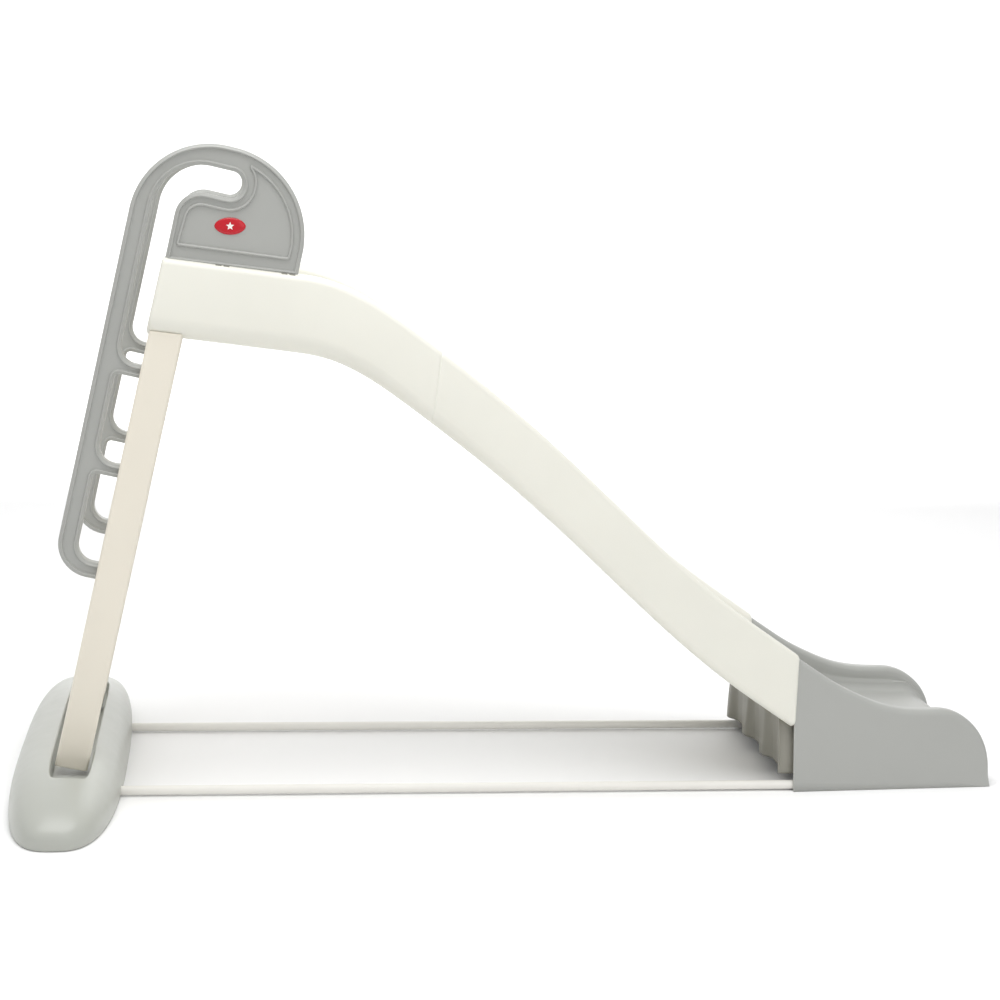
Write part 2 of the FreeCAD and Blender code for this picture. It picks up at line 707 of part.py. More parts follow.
def rail_bar_numbers():
    """Treads that have a handrail cross-bar beside them: all but the lowest."""
    return range(2, int(size.tread_count) + 1)


def origin_plane(body, role):
    """One of a body's own origin planes."""
    return [item for item in body.Origin.OriginFeatures if item.Role == role][0]


def polygon_sketch(body, name, vertices, offset=0.0):
    """Closed polygon on the body's XZ plane, each vertex placed by two expressions."""
    sketch = body.newObject("Sketcher::SketchObject", name)
    sketch.AttachmentSupport = [(origin_plane(body, "XZ_Plane"), "")]
    sketch.MapMode = "FlatFace"
    sketch.AttachmentOffset = Placement(Vector(0, 0, offset), Rotation())
    values = [[float(sketch.evalExpression(text)) for text in vertex] for vertex in vertices]
    spots = [Vector(u, w, 0) for u, w in values]
    count = len(spots)
    for index in range(count):
        sketch.addGeometry(Part.LineSegment(spots[index], spots[(index + 1) % count]), False)
    for index in range(count):
        sketch.addConstraint(Sketcher.Constraint("Coincident", index, 2, (index + 1) % count, 1))
    for index, vertex in enumerate(vertices):
        for axis, text, value in zip(("DistanceX", "DistanceY"), vertex, values[index]):
            number = sketch.addConstraint(Sketcher.Constraint(axis, -1, 1, index, 1, value))
            sketch.setExpression("Constraints[%d]" % number, text)
    return sketch


def box_vertices(low_u, high_u, low_w, high_w):
    """Vertex expressions of an upright rectangle."""
    return [(low_u, low_w), (high_u, low_w), (high_u, high_w), (low_u, high_w)]


def pad(body, sketch, length_text):
    """Pad on both sides of the sketch."""
    item = body.newObject("PartDesign::Pad", sketch.Name + "_pad")
    item.Profile = sketch
    item.Midplane = True
    item.setExpression("Length", length_text)
    sketch.Visibility = False
    return item


def pocket(body, sketch, length_text, midplane=True, towards_normal=False):
    """Pocket from the sketch; the volume has to fall."""
    doc.recompute()
    before = body.Shape.Volume
    item = body.newObject("PartDesign::Pocket", sketch.Name + "_pocket")
    item.Profile = sketch
    item.Midplane = midplane
    item.Reversed = towards_normal
    item.setExpression("Length", length_text)
    doc.recompute()
    if body.Shape.Volume >= before:
        raise RuntimeError("pocket %s cuts nothing" % sketch.Name)
    return item


TAN = "tan(sizes.ladder_tilt)"
COS = "cos(sizes.ladder_tilt)"
SIN = "sin(sizes.ladder_tilt)"
REAR_W = ("((sizes.deck_wall_height + sizes.deck_fall - sizes.seat_height - sizes.post_width / 2 * %s) / %s)"
          % (SIN, COS))
DECK_SLOPE = ("((sizes.deck_length * %s - sizes.deck_fall) / (sizes.deck_length + sizes.deck_fall * %s))"
              % (TAN, TAN))
PITCH = ("((%s + %s * sizes.post_width / 2 - sizes.deck_step) / sizes.tread_count)" % (REAR_W, DECK_SLOPE))


def underside_text(u_text):
    """Expression for where the deck wall's lower edge crosses u."""
    return ("(%s - sizes.wall_depth * %s + %s * (%s + sizes.post_width / 2 - sizes.wall_depth * %s))"
            % (REAR_W, COS, DECK_SLOPE, u_text, SIN))


def level_vertices(width_text, height_text, w_text):
    """Vertex expressions, in the ladder frame, of a level rectangle centred on the post at w."""
    vertices = []
    for x_sign, z_sign in ((-1, -1), (1, -1), (1, 1), (-1, 1)):
        dx = "(%d * (%s) / 2)" % (x_sign, width_text)
        dz = "(%d * (%s) / 2)" % (z_sign, height_text)
        vertices.append(("%s * %s - %s * %s" % (dx, COS, dz, SIN),
                         "%s + %s * %s + %s * %s" % (w_text, dx, SIN, dz, COS)))
    return vertices


def make_post(name, side):
    """Ladder post: tenon top and bottom, groove for the handrail, mortise for each tread."""
    body = doc.addObject("PartDesign::Body", name + "_ladder_post")
    body.Label = name + "_ladder_post"
    half = "sizes.post_width / 2"
    outline = [("-" + half, "0"), (half, "0"), (half, underside_text(half)),
               ("-" + half, underside_text("(-" + half + ")"))]
    pad(body, polygon_sketch(body, name + "_post_outline", outline), "sizes.post_depth")
    tenon_top = "%s + sizes.tenon_length" % underside_text("0")
    tenon = box_vertices("-sizes.tenon_width / 2", "sizes.tenon_width / 2", "-sizes.tenon_length", tenon_top)
    pad(body, polygon_sketch(body, name + "_post_tenon", tenon), "sizes.tenon_depth")
    groove_end = "-%s + sizes.rail_tongue + sizes.fit_gap" % half
    low = "2 * %s - sizes.rail_foot - sizes.fit_gap" % PITCH
    high = "sizes.tread_count * %s + sizes.cross_bar / 2 + sizes.fit_gap" % PITCH
    groove = box_vertices("-%s - sizes.bead" % half, groove_end, low, high)
    pocket(body, polygon_sketch(body, name + "_post_groove", groove),
           "sizes.rail_thickness + 2 * sizes.fit_gap")
    for number in range(1, int(size.tread_count) + 1):
        mortise = level_vertices("sizes.tread_width + 2 * sizes.fit_gap",
                                 "sizes.tread_height + 2 * sizes.fit_gap", "%d * %s" % (number, PITCH))
        sketch = polygon_sketch(body, "%s_mortise_%d" % (name, number), mortise, side * size.post_depth / 2)
        sketch.setExpression("AttachmentOffset.Base.z", "%d * sizes.post_depth / 2" % side)
        pocket(body, sketch, "sizes.tread_mortise + sizes.fit_gap", midplane=False, towards_normal=side < 0)
    body.Placement = ladder_placement(side * HALF_SPACING)
    return body


def make_tread(number):
    """Level tread between the posts, with three grip grooves on top."""
    name = "ladder_tread_%d" % number
    body = doc.addObject("PartDesign::Body", name)
    body.Label = name
    block = box_vertices("-sizes.tread_width / 2", "sizes.tread_width / 2",
                         "-sizes.tread_height / 2", "sizes.tread_height / 2")
    length = "sizes.post_spacing - sizes.post_depth"
    pad(body, polygon_sketch(body, name + "_section", block), length + " + 2 * sizes.tread_mortise")
    for index, share in enumerate((-0.25, 0.0, 0.25)):
        left = "%s * sizes.tread_width - sizes.grip_width / 2" % share
        right = "%s * sizes.tread_width + sizes.grip_width / 2" % share
        top = "sizes.tread_height / 2"
        groove = box_vertices(left, right, top + " - sizes.grip_depth", top + " + sizes.grip_depth")
        pocket(body, polygon_sketch(body, "%s_grip_%d" % (name, index), groove),
               length + " - 2 * sizes.grip_margin")
    x, z = ladder_to_world(0, tread_w(number))
    body.Placement = Placement(Vector(x, 0, z), Rotation())
    return body


# --- handrails -----------------------------------------------------------------------------------
def arc(centre, radius, start, end):
    """Arc edge in the ladder frame, angles in degrees from +u towards +w."""
    def spot(angle):
        return Vector(centre[0] + radius * math.cos(math.radians(angle)), 0,
                      centre[1] + radius * math.sin(math.radians(angle)))
    return Part.Arc(spot(start), spot((start + end) / 2), spot(end)).toShape()


def joined(pieces):
    """Wire of arcs with straight edges filled in between them; a plain point joins by lines."""
    edges = []
    ends = [(p, p) if isinstance(p, Vector) else (p.valueAt(p.FirstParameter), p.valueAt(p.LastParameter))
            for p in pieces]
    for index, piece in enumerate(pieces):
        if not isinstance(piece, Vector):
            edges.append(piece)
        start = ends[index][1]
        finish = ends[(index + 1) % len(pieces)][0]
        if start.distanceToPoint(finish) > 0.01:
            edges.append(Part.makeLine(start, finish))
    return Part.Wire(edges)


BACK_U = -HALF_POST - size.rail_reach
RIM_U = BACK_U + size.rail_rim
TONGUE_U = -HALF_POST + size.rail_tongue
BEND_U = BACK_U + size.bend_radius
BEND_W = DECK_W + size.bend_rise
SLOT_W = DECK_W + size.slot_rise
WINDOW_CORNER = 8.0
WINDOW_SWEEP = 28.0
HEEL = 55.0
PANEL_TOE = 4.0
POST_COVER = 4.0  # how far the post's groove hides the edge of a window


def rail_outline():
    """Outer edge of a handrail with the hand slot, clockwise from its heel."""
    bottom_w = tread_w(2) - size.rail_foot
    top_bar = tread_w(int(size.tread_count)) + size.cross_bar / 2
    front_u = BEND_U + size.bend_radius
    sweep = size.slot_sweep
    return joined([
        arc((BACK_U + HEEL, bottom_w + HEEL), HEEL, 270, 180),
        arc((BEND_U, BEND_W), size.bend_radius, 180, 0),
        Vector(front_u, 0, deck_top_w(front_u)),
        Vector(-HALF_POST + 1.5 * PANEL_TOE, 0, deck_top_w(-HALF_POST + 1.5 * PANEL_TOE)),
        arc((-HALF_POST + PANEL_TOE, deck_top_w(-HALF_POST + PANEL_TOE) + PANEL_TOE), PANEL_TOE, 270, 180),
        arc((-HALF_POST + size.panel_corner, SLOT_W - size.slot_radius - size.panel_corner),
            size.panel_corner, 180, 90),
        arc((size.slot_end, SLOT_W), size.slot_radius, -90, 90),
        arc((RIM_U + sweep, SLOT_W + size.slot_radius - sweep), sweep, 90, 180),
        arc((RIM_U + WINDOW_SWEEP, top_bar + WINDOW_SWEEP), WINDOW_SWEEP, 180, 270),
        Vector(TONGUE_U, 0, top_bar),
        Vector(TONGUE_U, 0, bottom_w),
    ])


def rail_window(number):
    """Hole between the cross-bars beside a tread and the next one up."""
    low = tread_w(number) + size.cross_bar / 2
    high = tread_w(number + 1) - size.cross_bar / 2
    edge_u = -HALF_POST + POST_COVER
    return joined([
        arc((RIM_U + WINDOW_SWEEP, low + WINDOW_SWEEP), WINDOW_SWEEP, 270, 180),
        arc((RIM_U + WINDOW_CORNER, high - WINDOW_CORNER), WINDOW_CORNER, 180, 90),
        Vector(edge_u, 0, high),
        Vector(edge_u, 0, low),
    ])


def make_handrail(name, side):
    """Handrail: solid rim and cross-bars, hand slot, panel over the deck, tabs into its wall."""
    outline = Part.Face(rail_outline())
    windows = [Part.Face(rail_window(number)) for number in list(rail_bar_numbers())[:-1]]
    face = outline.cut(windows).Faces[0]
    half = size.rail_thickness / 2
    body = across(face, half)
    tongue_cover = Part.makeBox(size.post_width, size.rail_thickness, DECK_W,
                                Vector(-HALF_POST - size.bead, -half, -size.deck_step))
    recess = face.makeOffset2D(-size.bead)
    for direction in (-1, 1):
        sunk = recess.copy()
        sunk.translate(Vector(0, direction * (half - size.web_recess), 0))
        body = body.cut(sunk.extrude(Vector(0, direction * CLEAR, 0)).cut(tongue_cover))
    item = body.copy()
    item.Placement = ladder_placement(side * HALF_SPACING).multiply(body.Placement)
    tabs = [tab_block(x, side * HALF_SPACING, 0.0) for x in tab_positions()]
    item = item.fuse(tabs).cut([screw_hole(p, size.screw_length) for p in handrail_screw_places()])
    feature(name + "_handrail", item.removeSplitter())


def make_badge(name, side):
    """Plain oval badge on the handrail's sunken outer face."""
    x, z = ladder_to_world(size.badge_ahead, DECK_W + size.badge_rise)
    y = side * (HALF_SPACING + size.rail_thickness / 2 - size.web_recess)
    oval = Part.Ellipse(Vector(0, 0, 0), size.badge_length / 2, size.badge_height / 2).toShape()
    item = Part.Face(Part.Wire([oval])).extrude(Vector(0, 0, size.badge_thickness))
    item.Placement = sideways(x, y, z, side)
    feature(name + "_badge", item)


# --- rear foot -----------------------------------------------------------------------------------
FOOT_X = -HALF_LENGTH + size.foot_width / 2
FOOT_LEVELS = (0.0, 0.14, 0.36, 0.6, 0.8, 0.93, 0.985)
PLAN_POWER = 3.0
RISE_POWER = 2.5


def foot_ring(half_x, half_y, z):
    """Level ring of the foot: a circle stretched and squared off by a power."""
    points = []
    for step in range(32):
        turn = 2 * math.pi * step / 32
        c, s = math.cos(turn), math.sin(turn)
        points.append(Vector(FOOT_X + half_x * math.copysign(abs(c) ** (2 / PLAN_POWER), c),
                             half_y * math.copysign(abs(s) ** (2 / PLAN_POWER), s), z))
    curve = Part.BSplineCurve()
    curve.interpolate(Points=points, PeriodicFlag=True)
    return Part.Wire([curve.toShape()])


def dome(inset):
    """Solid dome of the foot, moved in from its surface by the inset."""
    rings = []
    for level in FOOT_LEVELS:
        spread = (1 - level ** RISE_POWER) ** (1 / RISE_POWER)
        half_width = (size.foot_width / 2 - inset) * spread
        half_length = (size.foot_length / 2 - inset) * spread
        rings.append(foot_ring(half_width, half_length, (size.foot_rise - inset) * level))
    return Part.makeLoft(rings, True, False)


def recess_box(grow, low):
    """Trough for the ladder, or the walls round it when grown."""
    width = size.recess_width + 2 * grow
    half = size.recess_half_length + grow
    x = SEAT_X + (size.recess_floor - size.seat_height / 2) * math.tan(TILT)
    return Part.makeBox(width, 2 * half, CLEAR + size.foot_rise, Vector(x - width / 2, -half, low))


def foot_pad_places():
    """Centres of the pads under the towers that carry the posts."""
    return [(SEAT_X, side * HALF_SPACING) for side in SIDES.values()]


def make_foot():
    """Hollow domed foot with the ladder trough, two post sockets and two rod sockets."""
    outer = dome(0.0)
    inside = dome(size.foot_skin)
    wall = size.moulding_wall
    extras = [recess_box(wall, size.recess_floor - wall)]
    tower = 2 * size.tenon_width
    for x, y in foot_pad_places():
        extras.append(Part.makeBox(tower, tower, size.recess_floor - size.pad_thickness,
                                   Vector(x - tower / 2, y - tower / 2, size.pad_thickness)))
    extras += rod_bosses(ROD_REAR_X - 2 * wall, -1)
    inner_parts = extras[0].fuse(extras[1:]).common(outer)
    shape = outer.cut(inside).fuse(inner_parts)
    cuts = [recess_box(0.0, size.recess_floor), rod_space(size.fit_gap)]
    gap = size.fit_gap
    for side in SIDES.values():
        cuts.append(ladder_box(size.tenon_width + 2 * gap, size.tenon_depth + 2 * gap,
                               size.tenon_length + gap + CLEAR, 0, side * HALF_SPACING,
                               -size.tenon_length - gap))
    feature("rear_foot", shape.cut(cuts))


def make_pads(name, places):
    """Round anti-slip pads, flush with the floor."""
    pads = [Part.makeCylinder(size.pad_diameter / 2, size.pad_thickness, Vector(x, y, 0)) for x, y in places]
    feature(name, Part.makeCompound(pads))


# --- assembly ------------------------------------------------------------------------------------
make_chutes()
make_bolts()
make_exit()
make_brace()
make_rods()
for side_name, side_sign in SIDES.items():
    make_post(side_name, side_sign)
    make_handrail(side_name, side_sign)
    make_badge(side_name, side_sign)
for tread_number in range(1, int(size.tread_count) + 1):
    make_tread(tread_number)
make_foot()
make_pads("foot_pads", foot_pad_places())
SCREW_SETS = [
    ("brace_screws", brace_screw_places(), size.short_screw_length),
    ("post_screws", post_screw_places(), size.screw_length),
    ("handrail_screws", handrail_screw_places(), size.screw_length),
]
for set_name, places, screw_length in SCREW_SETS:
    feature(set_name, Part.makeCompound([screw(place, screw_length) for place in places]))
doc.recompute()

# --- check and write -----------------------------------------------------------------------------
SUB_PART_TYPES = ("Part::Feature", "Part::Cylinder", "PartDesign::Body")
for item in doc.Objects:
    if "Invalid" in item.State or "Error" in item.State:
        raise RuntimeError("%s failed: %s" % (item.Label, item.State))
sub_parts = [item for item in doc.Objects if item.TypeId in SUB_PART_TYPES]
for item in sub_parts:
    if item.Shape.isNull() or not item.Shape.isValid():
        raise RuntimeError("%s has no valid shape" % item.Label)
os.makedirs("parts", exist_ok=True)
for item in sub_parts:
    item.Shape.exportStep("parts/%s.step" % item.Label)
    print(item.Label, len(item.Shape.Solids), round(item.Shape.Volume / 1000.0, 1))
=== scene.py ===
import math

import bpy
import numpy as np
from mathutils import Matrix, Vector
from mathutils.geometry import delaunay_2d_cdt


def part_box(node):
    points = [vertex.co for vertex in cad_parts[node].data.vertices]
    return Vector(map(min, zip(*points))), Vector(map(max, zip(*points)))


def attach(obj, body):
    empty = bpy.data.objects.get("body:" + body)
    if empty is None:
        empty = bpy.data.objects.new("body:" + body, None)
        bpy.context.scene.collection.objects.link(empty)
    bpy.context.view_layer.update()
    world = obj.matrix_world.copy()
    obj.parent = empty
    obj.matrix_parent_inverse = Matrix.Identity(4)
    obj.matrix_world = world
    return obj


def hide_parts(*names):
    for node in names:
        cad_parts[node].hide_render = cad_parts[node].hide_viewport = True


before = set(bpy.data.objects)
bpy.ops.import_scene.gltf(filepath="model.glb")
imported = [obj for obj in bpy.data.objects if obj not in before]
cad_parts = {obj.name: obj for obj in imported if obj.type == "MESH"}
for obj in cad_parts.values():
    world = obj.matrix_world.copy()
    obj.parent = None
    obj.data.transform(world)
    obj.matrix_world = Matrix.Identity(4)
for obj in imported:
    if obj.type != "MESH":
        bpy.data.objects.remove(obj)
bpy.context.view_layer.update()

# --- driving sizes ---------------------------------------------------------------------------------
foot_low, foot_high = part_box("rear_foot")
exit_low, exit_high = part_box("exit_section")
chute_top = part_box("upper_chute")[1].z

HALF_LENGTH = exit_high.x
EXIT_WALL_TOP = exit_high.z
EXIT_LEAN = math.tan(math.radians(2.7))
WALL_DEPTH = 0.117
SEAM_X = exit_low.x + WALL_DEPTH * EXIT_LEAN
SEAM_SLOPE = -0.62
EXIT_WALL_LOW = 0.130
EXIT_FLOOR_LOW = 0.088
EXIT_BASE_HALF = exit_high.y
NOSE_BASE_HALF = 0.167
NOSE_RADIUS = 0.092
NOSE_X = HALF_LENGTH + 0.003
NOSE_START_X = NOSE_X - NOSE_RADIUS
SEAM_HALF = 0.155
NOSE_HALF = 0.143

DECK_FALL = 0.023
DECK_WALL = chute_top - DECK_FALL
DECK_LENGTH = 0.209
FLOOR_DEPTH = 0.074
SKIN = 0.004
FLANGE = 0.008
DECK_HALF = 0.192
WALL_FLARE = 0.014
WALL_WIDTH = 0.036
WALL_WIDTH_LOW = 0.024
TROUGH_DRAFT = 0.004
EDGE_ROUND = 0.026
EDGE_ROUND_LOW = 0.009
LIP_OUTER = 0.010
LIP_OUTER_LOW = 0.0045
LIP_INNER = 0.011
TROUGH_FILLET = 0.016
END_EASE = 0.0018
JOINT_SHARE = 0.27
JOINT_LEAN = math.tan(math.radians(6))
JOINT_GAP = 0.0006

TILT = math.radians(11.72)
SEAT_X = (foot_low.x + foot_high.x) / 2 + 0.0122
SEAT_Z = 0.0556
POST_WIDTH = 0.050
POST_DEPTH = 0.048
HALF_POST = POST_WIDTH / 2
HALF_SPACING = 0.1775
TREAD_COUNT = 4
DECK_STEP = 0.183
SIDES = {"left": 1, "right": -1}


# --- surfaces --------------------------------------------------------------------------------------
def ladder_point(u, y, w):
    """Place of (u, w) in the ladder's tilted frame: u across it towards the exit, w up along it."""
    u, y, w = np.broadcast_arrays(np.asarray(u, float), y, w)
    x = SEAT_X + u * math.cos(TILT) + w * math.sin(TILT)
    z = SEAT_Z - u * math.sin(TILT) + w * math.cos(TILT)
    return np.stack([x, y, z], axis=-1)


def smooth_curve(knots, first_slope, last_slope):
    """Height as a function of x through the knots.

    Each stretch is a cubic; the slopes at inner knots solve the linear system that makes the
    second derivative continuous, and the end slopes are given. Beyond the ends it runs straight on.
    """
    x, z = np.array(knots, float).T
    gap = np.diff(x)
    rise = np.diff(z) / gap
    count = len(x)
    system = np.eye(count)
    known = np.zeros(count)
    inner = np.arange(1, count - 1)
    system[inner, inner - 1] = 1 / gap[:-1]
    system[inner, inner] = 2 / gap[:-1] + 2 / gap[1:]
    system[inner, inner + 1] = 1 / gap[1:]
    known[inner] = 3 * rise[:-1] / gap[:-1] + 3 * rise[1:] / gap[1:]
    known[0], known[-1] = first_slope, last_slope
    slope = np.linalg.solve(system, known)

    def height(at):
        at = np.asarray(at, float)
        held = np.clip(at, x[0], x[-1])
        k = np.clip(np.searchsorted(x, held) - 1, 0, count - 2)
        t = (held - x[k]) / gap[k]
        curve = ((1 + 2 * t) * (1 - t) ** 2 * z[k] + t * (1 - t) ** 2 * gap[k] * slope[k]
                 + t * t * (3 - 2 * t) * z[k + 1] - t * t * (1 - t) * gap[k] * slope[k + 1])
        return curve + (at - held) * np.where(at < held, slope[0], slope[-1])

    return height


def rounded(corners, closed=True, steps=8):
    """Points along a line whose corners (a, b, radius) are rounded by arcs tangent to both sides.

    An arc's centre lies on the corner's bisector, and its points turn evenly from one side's
    normal to the other's. An open line keeps its two end points as they are.
    """
    corners = np.array(corners, float)
    spot, radius = corners[:, :2], np.maximum(corners[:, 2], 1e-4)
    back = np.roll(spot, 1, axis=0) - spot
    ahead = np.roll(spot, -1, axis=0) - spot
    back = back / np.linalg.norm(back, axis=1, keepdims=True)
    ahead = ahead / np.linalg.norm(ahead, axis=1, keepdims=True)
    half = np.arccos(np.clip((back * ahead).sum(1), -1, 1)) / 2
    middle = (back + ahead) / np.maximum(np.linalg.norm(back + ahead, axis=1, keepdims=True), 1e-9)
    centre = spot + middle * (radius / np.sin(half))[:, None]
    first = spot + back * (radius / np.tan(half))[:, None] - centre
    last = spot + ahead * (radius / np.tan(half))[:, None] - centre
    sweep = (math.pi - 2 * half)[:, None, None]
    share = np.linspace(0, 1, steps + 1)[None, :, None]
    arc = (np.sin((1 - share) * sweep) * first[:, None] + np.sin(share * sweep) * last[:, None])
    points = centre[:, None] + arc / np.maximum(np.sin(sweep), 1e-9)
    if closed:
        return points.reshape(-1, 2)
    return np.concatenate([spot[:1], points[1:-1].reshape(-1, 2), spot[-1:]])


def inset_corners(corners, distance):
    """The same corners after every side of an anticlockwise loop has moved inwards by a distance.

    A corner goes to where its two moved sides cross; outward corners tighten and inward ones open.
    """
    corners = np.array(corners, float)
    spot = corners[:, :2]
    side = np.roll(spot, -1, axis=0) - spot
    side = side / np.linalg.norm(side, axis=1, keepdims=True)
    normal = np.stack([-side[:, 1], side[:, 0]], axis=1)
    before, normal_before = np.roll(side, 1, axis=0), np.roll(normal, 1, axis=0)
    turn = before[:, 0] * side[:, 1] - before[:, 1] * side[:, 0]
    cosine = (before * side).sum(1)
    moved = spot + distance * (normal + normal_before) / (1 + cosine)[:, None]
    radius = np.maximum(corners[:, 2] - distance * np.sign(turn), 1e-4)
    return np.column_stack([moved, radius])


class Skin:
    """Collects grids of points and flat fills, then makes one mesh piece of them."""

    def __init__(self):
        self.points = []
        self.faces = []
        self.total = 0

    def grid(self, points, wrap=False, first_cap=False, last_cap=False):
        """Four-sided faces between neighbouring rows; wrap joins each row's end to its start."""
        rows, columns = points.shape[:2]
        index = self.total + np.arange(rows * columns).reshape(rows, columns)
        ahead = np.roll(index, -1, axis=1)
        last = columns if wrap else columns - 1
        quads = np.stack([index[:-1, :last], ahead[:-1, :last], ahead[1:, :last], index[1:, :last]], axis=-1)
        self.faces += quads.reshape(-1, 4).tolist()
        if first_cap:
            self.faces.append(index[0, ::-1].tolist())
        if last_cap:
            self.faces.append(index[-1].tolist())
        self.points.append(points.reshape(-1, 3))
        self.total += rows * columns
        return self

    def triangles(self, points, faces):
        """A flat fill given by its points and their triangles."""
        self.faces += (np.array(faces) + self.total).tolist()
        self.points.append(points)
        self.total += len(points)
        return self

    def piece(self, name, material, slot, *nodes, wall=0.0, sharp=40.0):
        """Mesh object with outward faces and smooth shading, standing for its CAD nodes."""
        mesh = bpy.data.meshes.new(name)
        mesh.from_pydata(np.concatenate(self.points).tolist(), [], self.faces)
        mesh.validate()
        item = bpy.data.objects.new(name, mesh)
        bpy.context.scene.collection.objects.link(item)
        merged = item.modifiers.new("merge", "WELD")
        merged.merge_threshold = 1e-5
        if wall:
            thick = item.modifiers.new("wall", "SOLIDIFY")
            thick.thickness = wall
            thick.offset = -1
        mesh.shade_smooth()
        mesh.set_sharp_from_angle(angle=math.radians(sharp))
        mesh.materials.append(material)
        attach(item, "root")
        if nodes:
            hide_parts(*nodes)
        return item


def inside(points, loop):
    """Which points lie inside a closed loop, by counting the sides that a ray along +a crosses."""
    a, b = points[:, 0:1], points[:, 1:2]
    start, end = loop[None], np.roll(loop, -1, axis=0)[None]
    crosses = (start[..., 1] > b) != (end[..., 1] > b)
    drop = np.where(end[..., 1] == start[..., 1], 1.0, end[..., 1] - start[..., 1])
    at = start[..., 0] + (b - start[..., 1]) * (end[..., 0] - start[..., 0]) / drop
    return (crosses & (a < at)).sum(1) % 2 == 1


def fill(loops):
    """Triangles between an outer loop and the holes in it: all that a Delaunay net of the loops
    holds, less those whose middle is outside the first loop or inside another."""
    spots = np.concatenate(loops)
    edges, start = [], 0
    for loop in loops:
        here = start + np.arange(len(loop))
        edges += np.column_stack([here, np.roll(here, -1)]).tolist()
        start += len(loop)
    found = delaunay_2d_cdt([Vector(p) for p in spots.tolist()], edges, [], 0, 1e-7)
    points = np.array([tuple(p) for p in found[0]])
    triangles = np.array(found[2])
    middle = points[triangles].mean(1)
    keep = inside(middle, loops[0])
    for loop in loops[1:]:
        keep &= ~inside(middle, loop)
    return points, triangles[keep]


# --- materials -------------------------------------------------------------------------------------
class Value:
    """A node output that can be added to or multiplied; each step adds its Math node."""

    def __init__(self, shader, socket):
        self.shader = shader
        self.socket = socket

    def _math(self, operation, first, second):
        return self.shader.node("ShaderNodeMath", {"operation": operation}, {0: first, 1: second})

    def __add__(self, other):
        return self._math("ADD", self, other)

    def __mul__(self, other):
        return self._math("MULTIPLY", self, other)


class Shader:
    """One material's node tree, with a Principled shader ready."""

    def __init__(self, name):
        self.material = bpy.data.materials.new(name)
        self.material.use_nodes = True
        self.tree = self.material.node_tree
        self.main = self.tree.nodes["Principled BSDF"]
        self.place = self.node("ShaderNodeTexCoord", {}, {}, "Object")

    def node(self, kind, settings, values, output=0):
        """Adds a node: its settings first, then each socket's value or link; returns one output."""
        item = self.tree.nodes.new(kind)
        for key, setting in settings.items():
            if key == "stops":
                self.set_stops(item.color_ramp, setting)
            else:
                setattr(item, key, setting)
        for key, value in values.items():
            self.feed(item.inputs[key], value)
        return Value(self, item.outputs[output])

    def set_stops(self, ramp, stops):
        """Places a ramp's colours: the first two stops exist already."""
        while len(ramp.elements) < len(stops):
            ramp.elements.new(0.5)
        for element, (position, shade) in zip(ramp.elements, stops):
            element.position = position
            element.color = (shade, shade, shade, 1)

    def feed(self, socket, value):
        """Links a node output, or sets a plain value."""
        if isinstance(value, Value):
            self.tree.links.new(value.socket, socket)
        else:
            socket.default_value = value

    def set(self, name, value):
        self.feed(self.main.inputs[name], value)

    def noise(self, scale, detail=2.0, roughness=0.5):
        """Cloudy values about 0.5 over the piece, with this many clouds to the metre."""
        values = {"Vector": self.place, "Scale": scale, "Detail": detail, "Roughness": roughness}
        return self.node("ShaderNodeTexNoise", {}, values)

    def ramp(self, value, stops):
        """Grey level read from stops along the value."""
        return self.node("ShaderNodeValToRGB", {"stops": stops}, {"Fac": value})

    def mix(self, share, first, second):
        """Blend of two colours by a share."""
        return self.node("ShaderNodeMix", {"data_type": "RGBA"}, {0: share, 6: first, 7: second}, 2)

    def bump(self, height, strength, distance):
        return self.node("ShaderNodeBump", {}, {"Strength": strength, "Distance": distance, "Height": height})


def linear(red, green, blue):
    """Linear colour from one given in 0 to 255 display steps."""
    shares = np.array([red, green, blue]) / 255
    return tuple(np.where(shares <= 0.04045, shares / 12.92, ((shares + 0.055) / 1.055) ** 2.4)) + (1.0,)


def scaled(colour, factor):
    return tuple(channel * factor for channel in colour[:3]) + (1.0,)


def moulded_plastic(name, colour, gloss, scuffs=0.25, grain=0.5):
    """Moulded polyethylene: faint cloudy colour, a fine pebble grain, softly uneven gloss and
    a few pale rubbed marks."""
    shader = Shader(name)
    cloud = shader.noise(7.0, 3.0)
    fleck = shader.ramp(shader.noise(95.0, 4.0, 0.65), [(0.60, 0.0), (0.74, 1.0)])
    body = shader.mix(cloud, scaled(colour, 0.965), scaled(colour, 1.03))
    rubbed = shader.mix(fleck * (0.10 * scuffs), body, scaled(colour, 1.14))
    shader.set("Base Color", rubbed)
    shader.set("Roughness", shader.noise(38.0, 3.0) * 0.14 + (gloss - 0.07) + fleck * (0.05 * scuffs))
    shader.set("IOR", 1.51)
    shader.set("Subsurface Weight", 0.04)
    shader.set("Subsurface Radius", (0.012, 0.010, 0.008))
    shader.set("Subsurface Scale", 0.5)
    pebble = shader.noise(900.0, 2.0, 0.6)
    waves = shader.noise(22.0, 1.0)
    shader.set("Normal", shader.bump(pebble * 0.00012 * grain + waves * 0.0011, 0.5, 1.0))
    return shader.material


def painted_rod_finish():
    """Powder-coated steel tube: fine orange-peel grain under a satin coat."""
    shader = Shader("white powder coat")
    base = linear(232, 230, 224)
    shader.set("Base Color", shader.mix(shader.noise(14.0, 2.0), scaled(base, 0.96), scaled(base, 1.02)))
    shader.set("Roughness", shader.noise(60.0, 2.0) * 0.12 + 0.30)
    shader.set("Coat Weight", 0.25)
    shader.set("Coat Roughness", 0.2)
    shader.set("Normal", shader.bump(shader.noise(700.0, 2.0) * 0.0002, 0.4, 1.0))
    return shader.material


